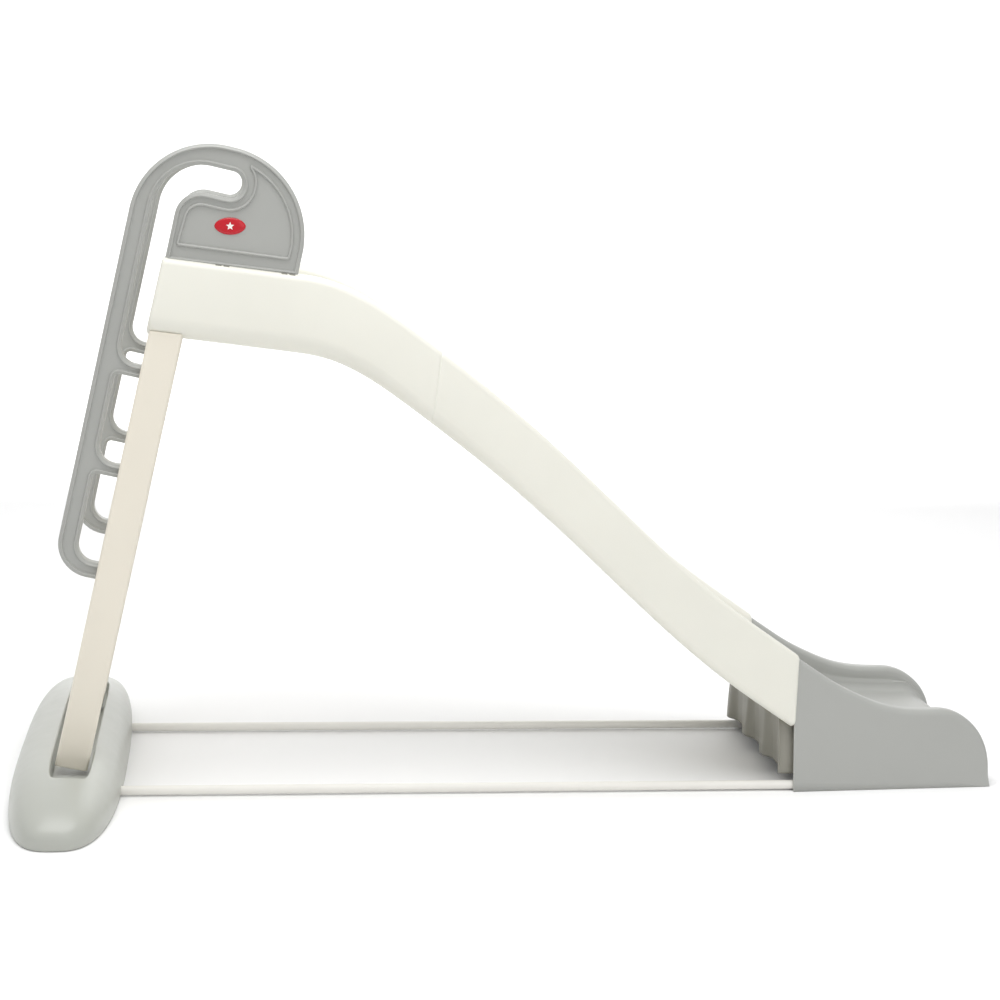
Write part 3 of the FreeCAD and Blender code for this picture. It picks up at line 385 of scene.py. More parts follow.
def zinc_finish():
    """Bright zinc plate on bolts and screws, cloudy and slightly brushed."""
    shader = Shader("zinc plate")
    shade = shader.noise(160.0, 3.0)
    shader.set("Base Color", shader.mix(shade, linear(168, 170, 172), linear(206, 207, 205)))
    shader.set("Metallic", 1.0)
    shader.set("Roughness", shade * 0.25 + 0.25)
    shader.set("Normal", shader.bump(shader.noise(1400.0, 2.0) * 0.0001, 0.4, 1.0))
    return shader.material


def rubber_finish():
    """Grey anti-slip rubber with a coarse matt grain."""
    shader = Shader("soft rubber")
    shader.set("Base Color", shader.mix(shader.noise(40.0, 3.0), linear(60, 60, 62), linear(82, 82, 84)))
    shader.set("Roughness", shader.noise(120.0, 2.0) * 0.1 + 0.8)
    shader.set("Normal", shader.bump(shader.noise(1200.0, 2.0) * 0.0004, 0.6, 1.0))
    return shader.material


def floor_finish():
    """Plain pale studio floor with the faintest mottling."""
    shader = Shader("studio floor")
    shader.set("Base Color", shader.mix(shader.noise(0.6, 2.0), (0.90, 0.90, 0.90, 1), (0.93, 0.93, 0.93, 1)))
    shader.set("Roughness", shader.noise(3.0) * 0.1 + 0.8)
    return shader.material


CREAM = linear(226, 225, 215)
POST_CREAM = linear(226, 220, 206)
RAIL_GREY = linear(166, 167, 163)
FOOT_GREY = linear(173, 175, 168)
# darker than the rail grey as painted shade, standing for the shadow under the exit
BRACE_GREY_WITH_PAINTED_SHADE = linear(140, 138, 128)
BADGE_RED = linear(188, 8, 30)

cream_plastic = moulded_plastic("cream polyethylene", CREAM, 0.36)
post_plastic = moulded_plastic("post polyethylene", POST_CREAM, 0.42)
grey_plastic = moulded_plastic("grey polyethylene", RAIL_GREY, 0.38)
foot_plastic = moulded_plastic("light grey polyethylene", FOOT_GREY, 0.34)
# painted shade: this darker grey stands for shadow, on the brace and on the tab slots' boxes
painted_shade_grey_plastic = moulded_plastic("grey polyethylene darkened with painted shade", BRACE_GREY_WITH_PAINTED_SHADE, 0.45)
badge_plastic = moulded_plastic("red badge enamel", BADGE_RED, 0.22, scuffs=0.1, grain=0.1)
emblem_plastic = moulded_plastic("white emblem ink", linear(240, 236, 232), 0.3, grain=0.1)
rod_finish = painted_rod_finish()
zinc = zinc_finish()
rubber = rubber_finish()


# --- chute -----------------------------------------------------------------------------------------
def ladder_to_side(u, w):
    place = ladder_point(u, 0.0, w)
    return place[..., 0], place[..., 2]


def side_to_ladder(x, z):
    """u and w of a point of the side view."""
    dx, dz = x - SEAT_X, z - SEAT_Z
    return dx * math.cos(TILT) - dz * math.sin(TILT), dx * math.sin(TILT) + dz * math.cos(TILT)


rear_w = (chute_top - SEAT_Z - HALF_POST * math.sin(TILT)) / math.cos(TILT)
DECK_REAR_X = float(ladder_to_side(-HALF_POST, rear_w)[0])
DECK_FRONT_X = DECK_REAR_X + DECK_LENGTH
RUN = SEAM_X - DECK_FRONT_X
DROP = DECK_WALL - EXIT_WALL_TOP
DECK_SLOPE = -DECK_FALL / DECK_LENGTH
SLOPE_SHAPE = [(0.077, 0.024), (0.229, 0.149), (0.485, 0.423), (0.689, 0.676), (0.857, 0.866), (1, 1)]
chute_knots = [(DECK_FRONT_X, DECK_WALL)]
chute_knots += [(DECK_FRONT_X + a * RUN, DECK_WALL - b * DROP) for a, b in SLOPE_SHAPE]
end_slope = (chute_knots[-1][1] - chute_knots[-2][1]) / (chute_knots[-1][0] - chute_knots[-2][0])
wall_top = smooth_curve(chute_knots, DECK_SLOPE, end_slope)
JOINT_X = DECK_FRONT_X + JOINT_SHARE * RUN


def chute_half_section(half, wall, edge, lip):
    """Corners (y, depth, radius) from the turned-in lower edge, up the outer face, over the lip,
    down into the trough and along its floor to the middle."""
    outer_low = half + WALL_FLARE
    inner_low = half - wall - TROUGH_DRAFT
    return [(outer_low - 1.25 * EDGE_ROUND, WALL_DEPTH, 0.001), (outer_low, WALL_DEPTH, edge),
            (half, 0.0, lip), (half - wall, 0.0, LIP_INNER), (inner_low, FLOOR_DEPTH, TROUGH_FILLET),
            (0.0, FLOOR_DEPTH, 0.001)]


def section_at(share, corners):
    """Section rows for an array of run shares: the deck's section blended into the exit's."""
    deck = rounded(corners(DECK_HALF, WALL_WIDTH, EDGE_ROUND, LIP_OUTER), closed=False)
    low = rounded(corners(SEAM_HALF, WALL_WIDTH_LOW, EDGE_ROUND_LOW, LIP_OUTER_LOW), closed=False)
    share = np.clip(share, 0, 1)[:, None, None]
    return (1 - share) * deck + share * low


def mirrored(half_rows):
    """Full section rows from half ones that end on the middle line."""
    other = half_rows[:, -2::-1] * np.array([-1, 1])
    return np.concatenate([half_rows, other], axis=1)


def eased(rows, distance_from_end, radius):
    """Pulls a section's rows inwards near an end along its own normals, as a quarter circle."""
    along = np.gradient(rows, axis=1)
    along /= np.maximum(np.linalg.norm(along, axis=2, keepdims=True), 1e-9)
    normal = np.stack([along[..., 1], -along[..., 0]], axis=-1)
    reach = np.clip(radius - distance_from_end, 0, radius)
    pull = radius - np.sqrt(np.maximum(radius ** 2 - reach ** 2, 0))
    return rows + normal * pull[:, None, None]


def end_spacing(start, end, count, ease):
    """Stations between two ends, with a few close together in each eased end."""
    near = ease * (1 - np.cos(np.linspace(0, math.pi / 2, 5)))
    middle = np.linspace(start + 2 * ease, end - 2 * ease, count)
    return np.concatenate([start + near, middle, (end - near)[::-1]])


def chute_rows(stations, start_lean, end_lean, corners):
    """Points of a chute section.

    A station's section stands on a plane that leans evenly from one end's lean to the other's;
    each point is then as far below the wall-top curve as its depth says.
    """
    start, end = stations[0], stations[-1]
    share = (stations - start) / (end - start)
    lean = start_lean * np.clip(1 - 4 * share, 0, 1) + end_lean * np.clip(4 * share - 3, 0, 1)
    rows = mirrored(section_at((stations - DECK_FRONT_X) / RUN, corners))
    rows = eased(rows, np.minimum(stations - start, end - stations), END_EASE)
    x = stations[:, None] - rows[..., 1] * lean[:, None]
    return np.stack([x, -rows[..., 0], wall_top(x) - rows[..., 1]], axis=-1)


def end_wall(skin, x, thickness, lean):
    """Solid flange across the inside of a chute end: the section's outline, filled and thickened."""
    def closed_section(half, wall, edge, lip):
        corners = np.array(chute_half_section(half, wall, edge, lip))
        corners[0] = (0.0, WALL_DEPTH, 0.001)
        return corners

    spots = np.array([x, x + thickness])
    rows = mirrored(section_at((spots - DECK_FRONT_X) / RUN, closed_section))
    rows = eased(rows, np.zeros(2), SKIN / 2)
    across = spots[:, None] - rows[..., 1] * lean
    points = np.stack([across, -rows[..., 0], wall_top(across) - rows[..., 1]], axis=-1)
    skin.grid(points[:, ::-1], wrap=True, first_cap=True, last_cap=True)


def make_chute(name, start, end, start_lean, end_lean, count):
    """One moulded chute section with a flange inside each end."""
    skin = Skin()
    stations = end_spacing(start, end, count, END_EASE)
    skin.grid(chute_rows(stations, start_lean, end_lean, chute_half_section))
    skin.piece(name + "_moulding", cream_plastic, "cream_plastic", name, wall=SKIN)
    walls = Skin()
    end_wall(walls, start + END_EASE, FLANGE, start_lean)
    end_wall(walls, end - END_EASE - FLANGE, FLANGE, end_lean)
    walls.piece(name + "_flanges", cream_plastic, "cream_plastic")


make_chute("upper_chute", DECK_REAR_X, JOINT_X - JOINT_GAP, math.tan(TILT), JOINT_LEAN, 70)
make_chute("lower_chute", JOINT_X + JOINT_GAP, SEAM_X - JOINT_GAP, JOINT_LEAN, EXIT_LEAN, 90)


# --- exit section ----------------------------------------------------------------------------------
EXIT_SHAPE = [(0.30, 0.52), (0.45, 0.72), (0.62, 0.90), (0.81, 0.99), (1, 1)]
EXIT_FLOOR_SHAPE = [(0.30, 0.56), (0.60, 0.90), (0.80, 0.98), (1, 1)]
EXIT_LIP = 0.010


def falling_curve(start_z, end_z, shape):
    """Line from the joint to the low stretch before the nose."""
    reach = NOSE_START_X - SEAM_X
    knots = [(SEAM_X, start_z)] + [(SEAM_X + a * reach, start_z - b * (start_z - end_z)) for a, b in shape]
    return smooth_curve(knots, SEAM_SLOPE, 0.0)


def nose_line(start_x, top_z, front_x, radius, count):
    """Level line, quarter circle and upright line down to the floor, in even steps of length."""
    level = front_x - radius - start_x
    arc = radius * math.pi / 2
    upright = top_z - radius
    s = np.linspace(0, level + arc + upright, count)
    angle = np.clip(s - level, 0, arc) / radius
    x = start_x + np.clip(s, 0, level) + radius * np.sin(angle)
    z = top_z - radius * (1 - np.cos(angle)) - np.clip(s - level - arc, 0, upright)
    return np.stack([x, z], axis=-1)


def exit_guides(count=46, nose_count=44):
    """Side-view lines of the wall's edge, the sliding floor and the panel's base, row by row."""
    edge_top = falling_curve(EXIT_WALL_TOP, EXIT_WALL_LOW, EXIT_SHAPE)
    floor_top = falling_curve(EXIT_WALL_TOP - FLOOR_DEPTH, EXIT_FLOOR_LOW, EXIT_FLOOR_SHAPE)
    near = END_EASE * (1 - np.cos(np.linspace(0, math.pi / 2, 5)))
    far = np.linspace(SEAM_X + 3 * END_EASE, NOSE_START_X, count)[:-1]
    x = np.concatenate([SEAM_X + JOINT_GAP + near, far])
    fade = (NOSE_START_X - x) / (NOSE_START_X - SEAM_X)
    floor_x = x - FLOOR_DEPTH * EXIT_LEAN * fade
    base_x = x - WALL_DEPTH * EXIT_LEAN * fade
    edge = np.stack([x, edge_top(x)], axis=-1)
    floor = np.stack([floor_x, floor_top(floor_x)], axis=-1)
    base = np.stack([base_x, np.zeros_like(x)], axis=-1)
    nose_edge = nose_line(NOSE_START_X, EXIT_WALL_LOW, NOSE_X, NOSE_RADIUS, nose_count)
    tuck = 2 * SKIN
    floor_radius = NOSE_RADIUS - (EXIT_WALL_LOW - EXIT_FLOOR_LOW)
    nose_floor = nose_line(NOSE_START_X, EXIT_FLOOR_LOW, NOSE_X - tuck, floor_radius, nose_count)
    nose_base = np.stack([np.linspace(NOSE_START_X, NOSE_X, nose_count), np.zeros(nose_count)], axis=-1)
    return (np.concatenate([edge, nose_edge]), np.concatenate([floor, nose_floor]),
            np.concatenate([base, nose_base]))


def exit_half_width(x, z):
    """Half width of the outer faces, which flare from the wall's edge down to the floor."""
    along = (x - SEAM_X) / (HALF_LENGTH - SEAM_X)
    top_z = EXIT_WALL_TOP + along * (EXIT_WALL_LOW - EXIT_WALL_TOP)
    top_half = SEAM_HALF + along * (NOSE_HALF - SEAM_HALF)
    base_half = EXIT_BASE_HALF + along * (NOSE_BASE_HALF - EXIT_BASE_HALF)
    return base_half + (top_half - base_half) * z / top_z


def exit_inner_half(x):
    along = (x - SEAM_X) / (HALF_LENGTH - SEAM_X)
    return SEAM_HALF + along * (NOSE_HALF - SEAM_HALF) - WALL_WIDTH_LOW


def exit_rows():
    """Half surface of the exit from the panel's base to the middle of the sliding floor.

    Each row runs from base to edge, over a lip of two quarter circles, down the trough's wall to
    the floor guide, through a fillet, and in to the middle.
    """
    edge, floor, base = exit_guides()
    down = base - edge
    panel_height = np.linalg.norm(down, axis=1, keepdims=True)
    down = down / np.maximum(panel_height, 1e-6)
    inward = floor - edge
    trough_depth = np.linalg.norm(inward, axis=1, keepdims=True)
    inward = inward / np.maximum(trough_depth, 1e-6)
    quarter = np.linspace(0, math.pi / 2, 8)[None, :]
    lip = np.minimum(EXIT_LIP, 0.45 * panel_height)
    lip_inner = np.minimum(EXIT_LIP, 0.35 * trough_depth)
    fillet = np.minimum(TROUGH_FILLET, 0.5 * trough_depth)

    def spots(direction, depth):
        return edge[:, None] + direction[:, None] * depth[..., None]

    panel_depth = lip + (panel_height - lip) * np.linspace(1, 0, 14)[None, :-1]
    panel = spots(down, panel_depth)
    fade = np.clip((NOSE_START_X - edge[:, :1]) / (NOSE_START_X - SEAM_X), 0, 1)
    lean_depth = np.minimum(panel_depth, WALL_DEPTH) - WALL_DEPTH * panel_depth / panel_height.clip(1e-6)
    panel[..., 0] -= fade * EXIT_LEAN * lean_depth
    panel_y = exit_half_width(panel[..., 0], panel[..., 1])
    outer_depth = lip * (1 - np.sin(quarter))
    outer = spots(down, outer_depth)
    outer_y = exit_half_width(outer[..., 0], outer[..., 1]) - lip * (1 - np.cos(quarter))
    top_y = exit_inner_half(edge[:, :1])
    inner = spots(inward, lip_inner * (1 - np.cos(quarter)))
    inner_y = top_y + lip_inner * (1 - np.sin(quarter))
    wall_depth = lip_inner + (trough_depth - fillet - lip_inner) * np.linspace(0, 1, 6)[None, 1:-1]
    wall = spots(inward, wall_depth)
    wall_y = top_y - TROUGH_DRAFT * wall_depth / trough_depth.max()
    corner = spots(inward, trough_depth - fillet * (1 - np.sin(quarter)))
    corner_y = top_y - TROUGH_DRAFT - fillet * (1 - np.cos(quarter))
    bottom = spots(inward, trough_depth * np.ones((1, 10)))
    bottom_y = (top_y - TROUGH_DRAFT - fillet) * np.linspace(1, 0, 11)[None, 1:]
    side = np.concatenate([panel, outer, inner, wall, corner, bottom], axis=1)
    y = np.concatenate([panel_y, outer_y, inner_y, wall_y, corner_y, bottom_y], axis=1)
    return side, y


def make_exit():
    """Exit moulding: both halves of its surface in one skin, given a wall inwards."""
    side, y = exit_rows()
    distance = np.clip(side[:, -1:, 0] - side[0, -1, 0], 0, END_EASE)
    ease = END_EASE - np.sqrt(END_EASE ** 2 - (END_EASE - distance) ** 2)
    y = y - ease * np.sign(y)
    side = np.concatenate([side, side[:, -2::-1]], axis=1)
    y = np.concatenate([-y, y[:, -2::-1]], axis=1)
    points = np.stack([side[..., 0], y, np.maximum(side[..., 1], 0)], axis=-1)
    Skin().grid(points[:, ::-1]).piece(
        "exit_moulding", grey_plastic, "grey_plastic", "exit_section", wall=SKIN)


make_exit()

# --- handrails -------------------------------------------------------------------------------------
RAIL_HALF = 0.012
WEB_HALF = 0.008
RAIL_REACH = 0.070
RAIL_RIM = 0.032
RAIL_TONGUE = 0.029
RAIL_FOOT = 0.0155
CROSS_BAR = 0.021
BEND_RADIUS = 0.139
BEND_RISE = 0.053
BACK_BEND = 0.128
SLOT_RISE = 0.134
SLOT_RADIUS = 0.021
SLOT_END = 0.049
SLOT_SWEEP = 0.078
PANEL_CORNER = 0.041
HEEL = 0.055
WINDOW_CORNER = 0.008
WINDOW_SWEEP = 0.028
BEAD = 0.0062
LEAF_MARGIN = 0.0195
LEAF_WIDTH = 0.0050
LEAF_HEIGHT = 0.0038
LEAF_STAND = 0.026
TIGHT = 0.0005

BACK_U = -HALF_POST - RAIL_REACH
RIM_U = BACK_U + RAIL_RIM
TONGUE_U = -HALF_POST + RAIL_TONGUE
BEND_U = BACK_U + BEND_RADIUS
rear_top_w = side_to_ladder(DECK_REAR_X, chute_top)[1]
front_u, front_w = side_to_ladder(DECK_FRONT_X, DECK_WALL)
DECK_RISE = (front_w - rear_top_w) / (front_u + HALF_POST)
DECK_W = rear_top_w + DECK_RISE * HALF_POST
BEND_W = DECK_W + BEND_RISE
SLOT_W = DECK_W + SLOT_RISE
TREAD_PITCH = (DECK_W - DECK_STEP) / TREAD_COUNT


def tread_w(number):
    """Middle of a tread along the ladder; number 1 is the lowest."""
    return number * TREAD_PITCH


def deck_w(u):
    """Where the deck's wall top crosses the ladder frame."""
    return DECK_W + DECK_RISE * u


def rail_outline():
    """Corners (u, w, radius) of a handrail, anticlockwise from its heel: a tall back rim that
    bends over the hand slot and comes down as the panel that stands on the deck's wall."""
    foot = tread_w(2) - RAIL_FOOT
    top_bar = tread_w(TREAD_COUNT) + CROSS_BAR / 2
    right = BEND_U + BEND_RADIUS
    crown = BEND_W + BEND_RADIUS
    return [
        (BACK_U, foot, HEEL), (TONGUE_U, foot, TIGHT), (TONGUE_U, top_bar, TIGHT),
        (RIM_U, top_bar, WINDOW_SWEEP), (RIM_U, SLOT_W + SLOT_RADIUS, SLOT_SWEEP),
        (SLOT_END + SLOT_RADIUS, SLOT_W + SLOT_RADIUS, SLOT_RADIUS * 0.999),
        (SLOT_END + SLOT_RADIUS, SLOT_W - SLOT_RADIUS, SLOT_RADIUS * 0.999),
        (-HALF_POST, SLOT_W - SLOT_RADIUS, PANEL_CORNER),
        (-HALF_POST, deck_w(-HALF_POST) - 0.002, 0.004), (right, deck_w(right), 0.003),
        (right, crown, BEND_RADIUS * 0.998), (BACK_U, crown, BACK_BEND),
    ]


def rail_window(number):
    """Corners of the hole between the cross-bars beside a tread and the next one up."""
    low = tread_w(number) + CROSS_BAR / 2
    high = tread_w(number + 1) - CROSS_BAR / 2
    inner = -HALF_POST + 0.004
    return [(RIM_U, low, WINDOW_SWEEP), (inner, low, TIGHT), (inner, high, TIGHT),
            (RIM_U, high, WINDOW_CORNER)]


def leaf_outline():
    """Corners of the raised line on the panel: a leaf between the bend and the hand slot whose
    tip points up past the slot's round end."""
    outer = BEND_RADIUS - LEAF_MARGIN
    tip, low = math.radians(76), math.radians(-6)
    middle, half_sweep = (tip + low) / 2, (tip - low) / 2
    shoulder = outer / math.cos(half_sweep)
    tip_u = BEND_U + outer * math.cos(tip)
    tip_w = BEND_W + outer * math.sin(tip)
    around = SLOT_RADIUS + 0.0185
    left = -HALF_POST + 0.018
    bottom = deck_w(left) + LEAF_STAND
    right = BEND_U + outer * math.cos(low)
    return [
        (left - 0.004, bottom, 0.002), (right, deck_w(right) + LEAF_STAND, 0.003),
        (BEND_U + shoulder * math.cos(middle), BEND_W + shoulder * math.sin(middle), outer * 0.99),
        (tip_u, tip_w, 0.0012),
        (SLOT_END + around, SLOT_W + around * 0.52, around * 0.9),
        (SLOT_END + around, SLOT_W - around, around * 0.995),
        (left, SLOT_W - around, PANEL_CORNER - 0.015),
    ]


def bead_profile():
    """(inset, half thickness) from the sunk web over the edge band and round to its mirror: the
    band slopes up from the outer edge to a thin bead, which drops into the web."""
    face = [(BEAD + 0.0032, WEB_HALF, 0.0003), (BEAD + 0.0012, WEB_HALF, 0.0012),
            (BEAD + 0.0004, RAIL_HALF, 0.0010), (BEAD - 0.0016, RAIL_HALF, 0.0008),
            (BEAD - 0.0030, RAIL_HALF - 0.0016, 0.0010), (0.0, RAIL_HALF - 0.0030, 0.0024)]
    back = [(inset, -level, radius) for inset, level, radius in reversed(face)]
    return rounded(face + back, closed=False, steps=4)


def edge_loops(corners, profile, steps):
    """The closed line repeated at each of the profile's insets: rows of (u, half thickness, w)."""
    rows = []
    for inset, level in profile:
        loop = rounded(inset_corners(corners, inset), steps=steps)
        rows.append(np.column_stack([loop[:, 0], np.full(len(loop), level), loop[:, 1]]))
    return np.array(rows)


def to_rail(rows, y):
    """Places (u, across, w) rows in the ladder frame about a plane across the slide."""
    return ladder_point(rows[..., 0], y + rows[..., 1], rows[..., 2])


def ridge(corners, width, height, base):
    """Low half-round ridge along a closed line, standing on a face at the base level."""
    angle = np.linspace(0, math.pi, 7)
    offsets = np.concatenate([[-width / 2], -width / 2 * np.cos(angle), [width / 2]])
    levels = np.concatenate([[-0.001], height * np.sin(angle), [-0.001]])
    rows = edge_loops(corners, zip(offsets, base + levels), 14)
    return np.concatenate([rows, rows[:1]])


def make_handrail(name, side):
    """Handrail: beaded edges round its outline and windows, sunk webs filled between them, and the
    leaf line raised on both faces."""
    y = side * HALF_SPACING
    outline = rail_outline()
    windows = [rail_window(2), rail_window(3)]
    profile = bead_profile()
    skin = Skin()
    outer = edge_loops(outline, profile, 24)
    skin.grid(to_rail(outer, y), wrap=True)
    # a window is walked clockwise, so that its inside is the material round it
    inner = [edge_loops(window[::-1], profile, 12) for window in windows]
    for rows in inner:
        skin.grid(to_rail(rows, y), wrap=True)
    for row, direction in ((0, 1), (-1, -1)):
        flat, triangles = fill([outer[row][:, [0, 2]]] + [rows[row][:, [0, 2]] for rows in inner])
        points = np.column_stack([flat[:, 0], np.full(len(flat), outer[row][0, 1]), flat[:, 1]])
        skin.triangles(to_rail(points, y), triangles[:, ::-1] if direction > 0 else triangles)
        leaf = ridge(leaf_outline(), LEAF_WIDTH, LEAF_HEIGHT, WEB_HALF)
        leaf[..., 1] *= direction
        skin.grid(to_rail(leaf[:, ::-direction], y), wrap=True)
    skin.piece(name + "_rail_moulding", grey_plastic, "grey_plastic", name + "_handrail", sharp=50)


BADGE_TURN = 1.5
BADGE_RINGS = 9
BADGE_REACH = 0.45
BADGE_RISE = 0.0028
STAR_POINT = 0.0066
STAR_VALLEY = 0.0030


def make_badge(name, side):
    """Oval badge with a pointed end each way: rings shrink and rise as a low dome, with a raised
    five-pointed star in the middle."""
    low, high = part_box(name + "_badge")
    centre = (low + high) / 2
    half_length, half_height = (high.x - low.x) / 2, (high.z - low.z) / 2
    face_y = side * (HALF_SPACING + WEB_HALF)
    angle = np.linspace(0, 2 * math.pi, 72, endpoint=False)
    plan_x = half_length * np.cos(angle)
    plan_z = half_height * np.sign(np.sin(angle)) * np.abs(np.sin(angle)) ** 1.15

    def dome():
        level = np.linspace(0, BADGE_TURN, BADGE_RINGS)[:, None]
        shrink = 1 - BADGE_REACH * (1 - np.cos(level))
        x = centre.x + plan_x * shrink
        z = centre.z + plan_z * shrink
        y = face_y + side * BADGE_RISE * np.sin(level) * np.ones_like(x)
        return np.stack([x, y, z], axis=-1)

    order = -side
    Skin().grid(dome()[:, ::order], wrap=True, first_cap=True, last_cap=True).piece(
        name + "_badge_dome", badge_plastic, "red_badge", name + "_badge")
    star_angle = np.linspace(0, 2 * math.pi, 10, endpoint=False)
    star_reach = np.where(np.arange(10) % 2 == 0, STAR_POINT, STAR_VALLEY)
    star = np.stack([star_reach * np.sin(star_angle), star_reach * np.cos(star_angle)], axis=-1)
    levels = face_y + side * (BADGE_RISE + np.array([-0.0010, 0.0005]))
    rows = np.array([np.column_stack([centre.x + star[:, 0], np.full(10, level), centre.z + star[:, 1]])
                     for level in levels])
    Skin().grid(rows[:, ::-order], wrap=True, last_cap=True, first_cap=True).piece(
        name + "_emblem", emblem_plastic, "red_badge")


for name, side in SIDES.items():
    make_handrail(name, side)
    make_badge(name, side)


# --- ladder ----------------------------------------------------------------------------------------
POST_EDGE = 0.0045
POST_PROUD = 0.0025
TREAD_WIDTH = 0.044
TREAD_HEIGHT = 0.022
MORTISE = 0.007
GRIP_DEPTH = 0.002
GRIP_HALF = 0.002
POST_OVERRUN = 0.002


def box_loop(half_a, half_b, radius, inset=0.0, steps=6):
    """Rounded rectangle about the origin, moved in by an inset."""
    a, b = half_a - inset, half_b - inset
    corner = max(radius - inset, 0.0006)
    return rounded([(-a, -b, corner), (a, -b, corner), (a, b, corner), (-a, b, corner)], steps=steps)


def eased_ends(start, end, radius, steps=5):
    """Pairs (place, inset) along a bar whose two end edges are rounded as quarter circles."""
    angle = np.linspace(0, math.pi / 2, steps)
    near = [(start + radius * (1 - math.sin(a)), radius * (1 - math.cos(a))) for a in angle[::-1]]
    far = [(end - radius * (1 - math.sin(a)), radius * (1 - math.cos(a))) for a in angle]
    return near + far


def make_post(name, side):
    """Square post with rounded edges, from its seat in the foot up into the deck's underside."""
    top = deck_w(0) - WALL_DEPTH * math.cos(TILT) + POST_OVERRUN
    rows = []
    for w, inset in eased_ends(0.0, top, 0.003):
        loop = box_loop(HALF_POST + POST_PROUD / 2, POST_DEPTH / 2, POST_EDGE, inset)
        loop[:, 0] += POST_PROUD / 2
        rise = DECK_RISE * loop[:, 0] if w > top / 2 else 0 * loop[:, 0]
        rows.append(ladder_point(loop[:, 0], side * HALF_SPACING + loop[:, 1], w + rise))
    Skin().grid(np.array(rows), wrap=True, first_cap=True, last_cap=True).piece(
        name + "_post_moulding", post_plastic, "post_plastic", name + "_ladder_post")


def tread_section():
    """Corners (x, z, radius) of a tread: a rounded bar with three grip grooves along its top."""
    half, top, groove = TREAD_WIDTH / 2, TREAD_HEIGHT / 2, GRIP_HALF
    corners = [(-half, -top, 0.005), (half, -top, 0.005), (half, top, 0.006)]
    for middle in (TREAD_WIDTH / 4, 0.0, -TREAD_WIDTH / 4):
        corners += [(middle + groove, top, 0.0008), (middle + groove, top - GRIP_DEPTH, 0.0008),
                    (middle - groove, top - GRIP_DEPTH, 0.0008), (middle - groove, top, 0.0008)]
    return corners + [(-half, top, 0.006)]


def make_tread(number):
    """Level tread carried across between the posts."""
    name = "ladder_tread_%d" % number
    section = rounded(tread_section(), steps=4)
    middle = ladder_point(0.0, 0.0, tread_w(number))
    reach = HALF_SPACING - POST_DEPTH / 2 + MORTISE
    across = np.linspace(-reach, reach, 25)
    x = np.broadcast_to(middle[0] + section[:, 0], (len(across), len(section)))
    z = np.broadcast_to(middle[2] + section[:, 1], x.shape)
    y = np.broadcast_to(across[:, None], x.shape)
    points = np.stack([x, y, z], axis=-1)
    Skin().grid(points[:, ::-1], wrap=True, first_cap=True, last_cap=True).piece(
        name + "_moulding", post_plastic, "post_plastic", name)


for name, side in SIDES.items():
    make_post(name, side)
for number in range(1, TREAD_COUNT + 1):
    make_tread(number)


# --- rear foot -------------------------------------------------------------------------------------
FOOT_X = (foot_low.x + foot_high.x) / 2 + 0.004
FOOT_HALF_X = (foot_high.x - foot_low.x) / 2
FOOT_HALF_Y = foot_high.y
FOOT_RISE = foot_high.z - 0.003
FOOT_RIM = 0.009
PLAN_POWER = 3.0
RISE_POWER = 2.4
RECESS_HALF_X = 0.032
RECESS_HALF_Y = 0.276
RECESS_FLOOR = 0.043
RECESS_POWER = 9.0
RING_SHIFT = 0.12
TROUGH_LIP = 0.06
RECESS_X = SEAT_X + (RECESS_FLOOR - SEAT_Z / 2) * math.tan(TILT)


def plan_loop(half_x, half_y, power, centre_x, angle):
    """Squared-off oval: a circle whose cosine and sine are raised to 2 over the power."""
    c, s = np.cos(angle), np.sin(angle)
    x = centre_x + half_x * np.sign(c) * np.abs(c) ** (2 / power)
    return np.stack([x, half_y * np.sign(s) * np.abs(s) ** (2 / power)], axis=-1)


def dome_height(plan):
    """Height of the foot over its plan: the rim plus a crown that falls as a power curve."""
    reach = (np.abs((plan[..., 0] - FOOT_X) / FOOT_HALF_X) ** PLAN_POWER
             + np.abs(plan[..., 1] / FOOT_HALF_Y) ** PLAN_POWER) ** (1 / PLAN_POWER)
    crown = np.clip(1 - np.minimum(reach, 1) ** RISE_POWER, 0, 1) ** (1 / RISE_POWER)
    return FOOT_RIM + (FOOT_RISE - FOOT_RIM) * crown


def make_foot():
    """Domed foot with the ladder's trough: rings run from the trough's floor up its wall, over a
    rounded edge, out across the dome, down the rim and under to a flat base."""
    angle = np.linspace(0, 2 * math.pi, 192, endpoint=False)
    # angles close up near the axes, where the ovals' power would spread their points apart
    angle = angle - RING_SHIFT * np.sin(4 * angle)
    trough = plan_loop(RECESS_HALF_X, RECESS_HALF_Y, RECESS_POWER, RECESS_X, angle)
    outer = plan_loop(FOOT_HALF_X, FOOT_HALF_Y, PLAN_POWER, FOOT_X, angle)

    def ring(share, lift=0.0):
        plan = trough + (outer - trough) * share
        return np.column_stack([plan, dome_height(plan) + lift])

    def level_ring(plan, z):
        return np.column_stack([plan, np.full(len(plan), z)])

    rows = []
    for inset, rise in ((0.004, 0.0), (0.0012, 0.0012), (0.0, 0.004)):
        floor = plan_loop(RECESS_HALF_X - inset, RECESS_HALF_Y - inset, RECESS_POWER, RECESS_X, angle)
        rows.append(level_ring(floor, RECESS_FLOOR + rise))
    for turn in np.linspace(0, math.pi / 2, 6):
        rows.append(ring(TROUGH_LIP * (1 - math.cos(turn)), -0.004 * (1 - math.sin(turn))))
    for share in TROUGH_LIP + (1 - TROUGH_LIP) * np.sin(np.linspace(0, math.pi / 2, 40))[1:]:
        rows.append(ring(share))
    for inset, z in ((0.0, 0.003), (0.0006, 0.001), (0.002, 0.0), (0.012, 0.0), (0.014, 0.002)):
        rim = plan_loop(FOOT_HALF_X - inset, FOOT_HALF_Y - inset, PLAN_POWER, FOOT_X, angle)
        rows.append(level_ring(rim, z))
    Skin().grid(np.array(rows)[:, ::-1], wrap=True, first_cap=True, last_cap=True).piece(
        "foot_moulding", foot_plastic, "light_grey_plastic", "rear_foot")


make_foot()


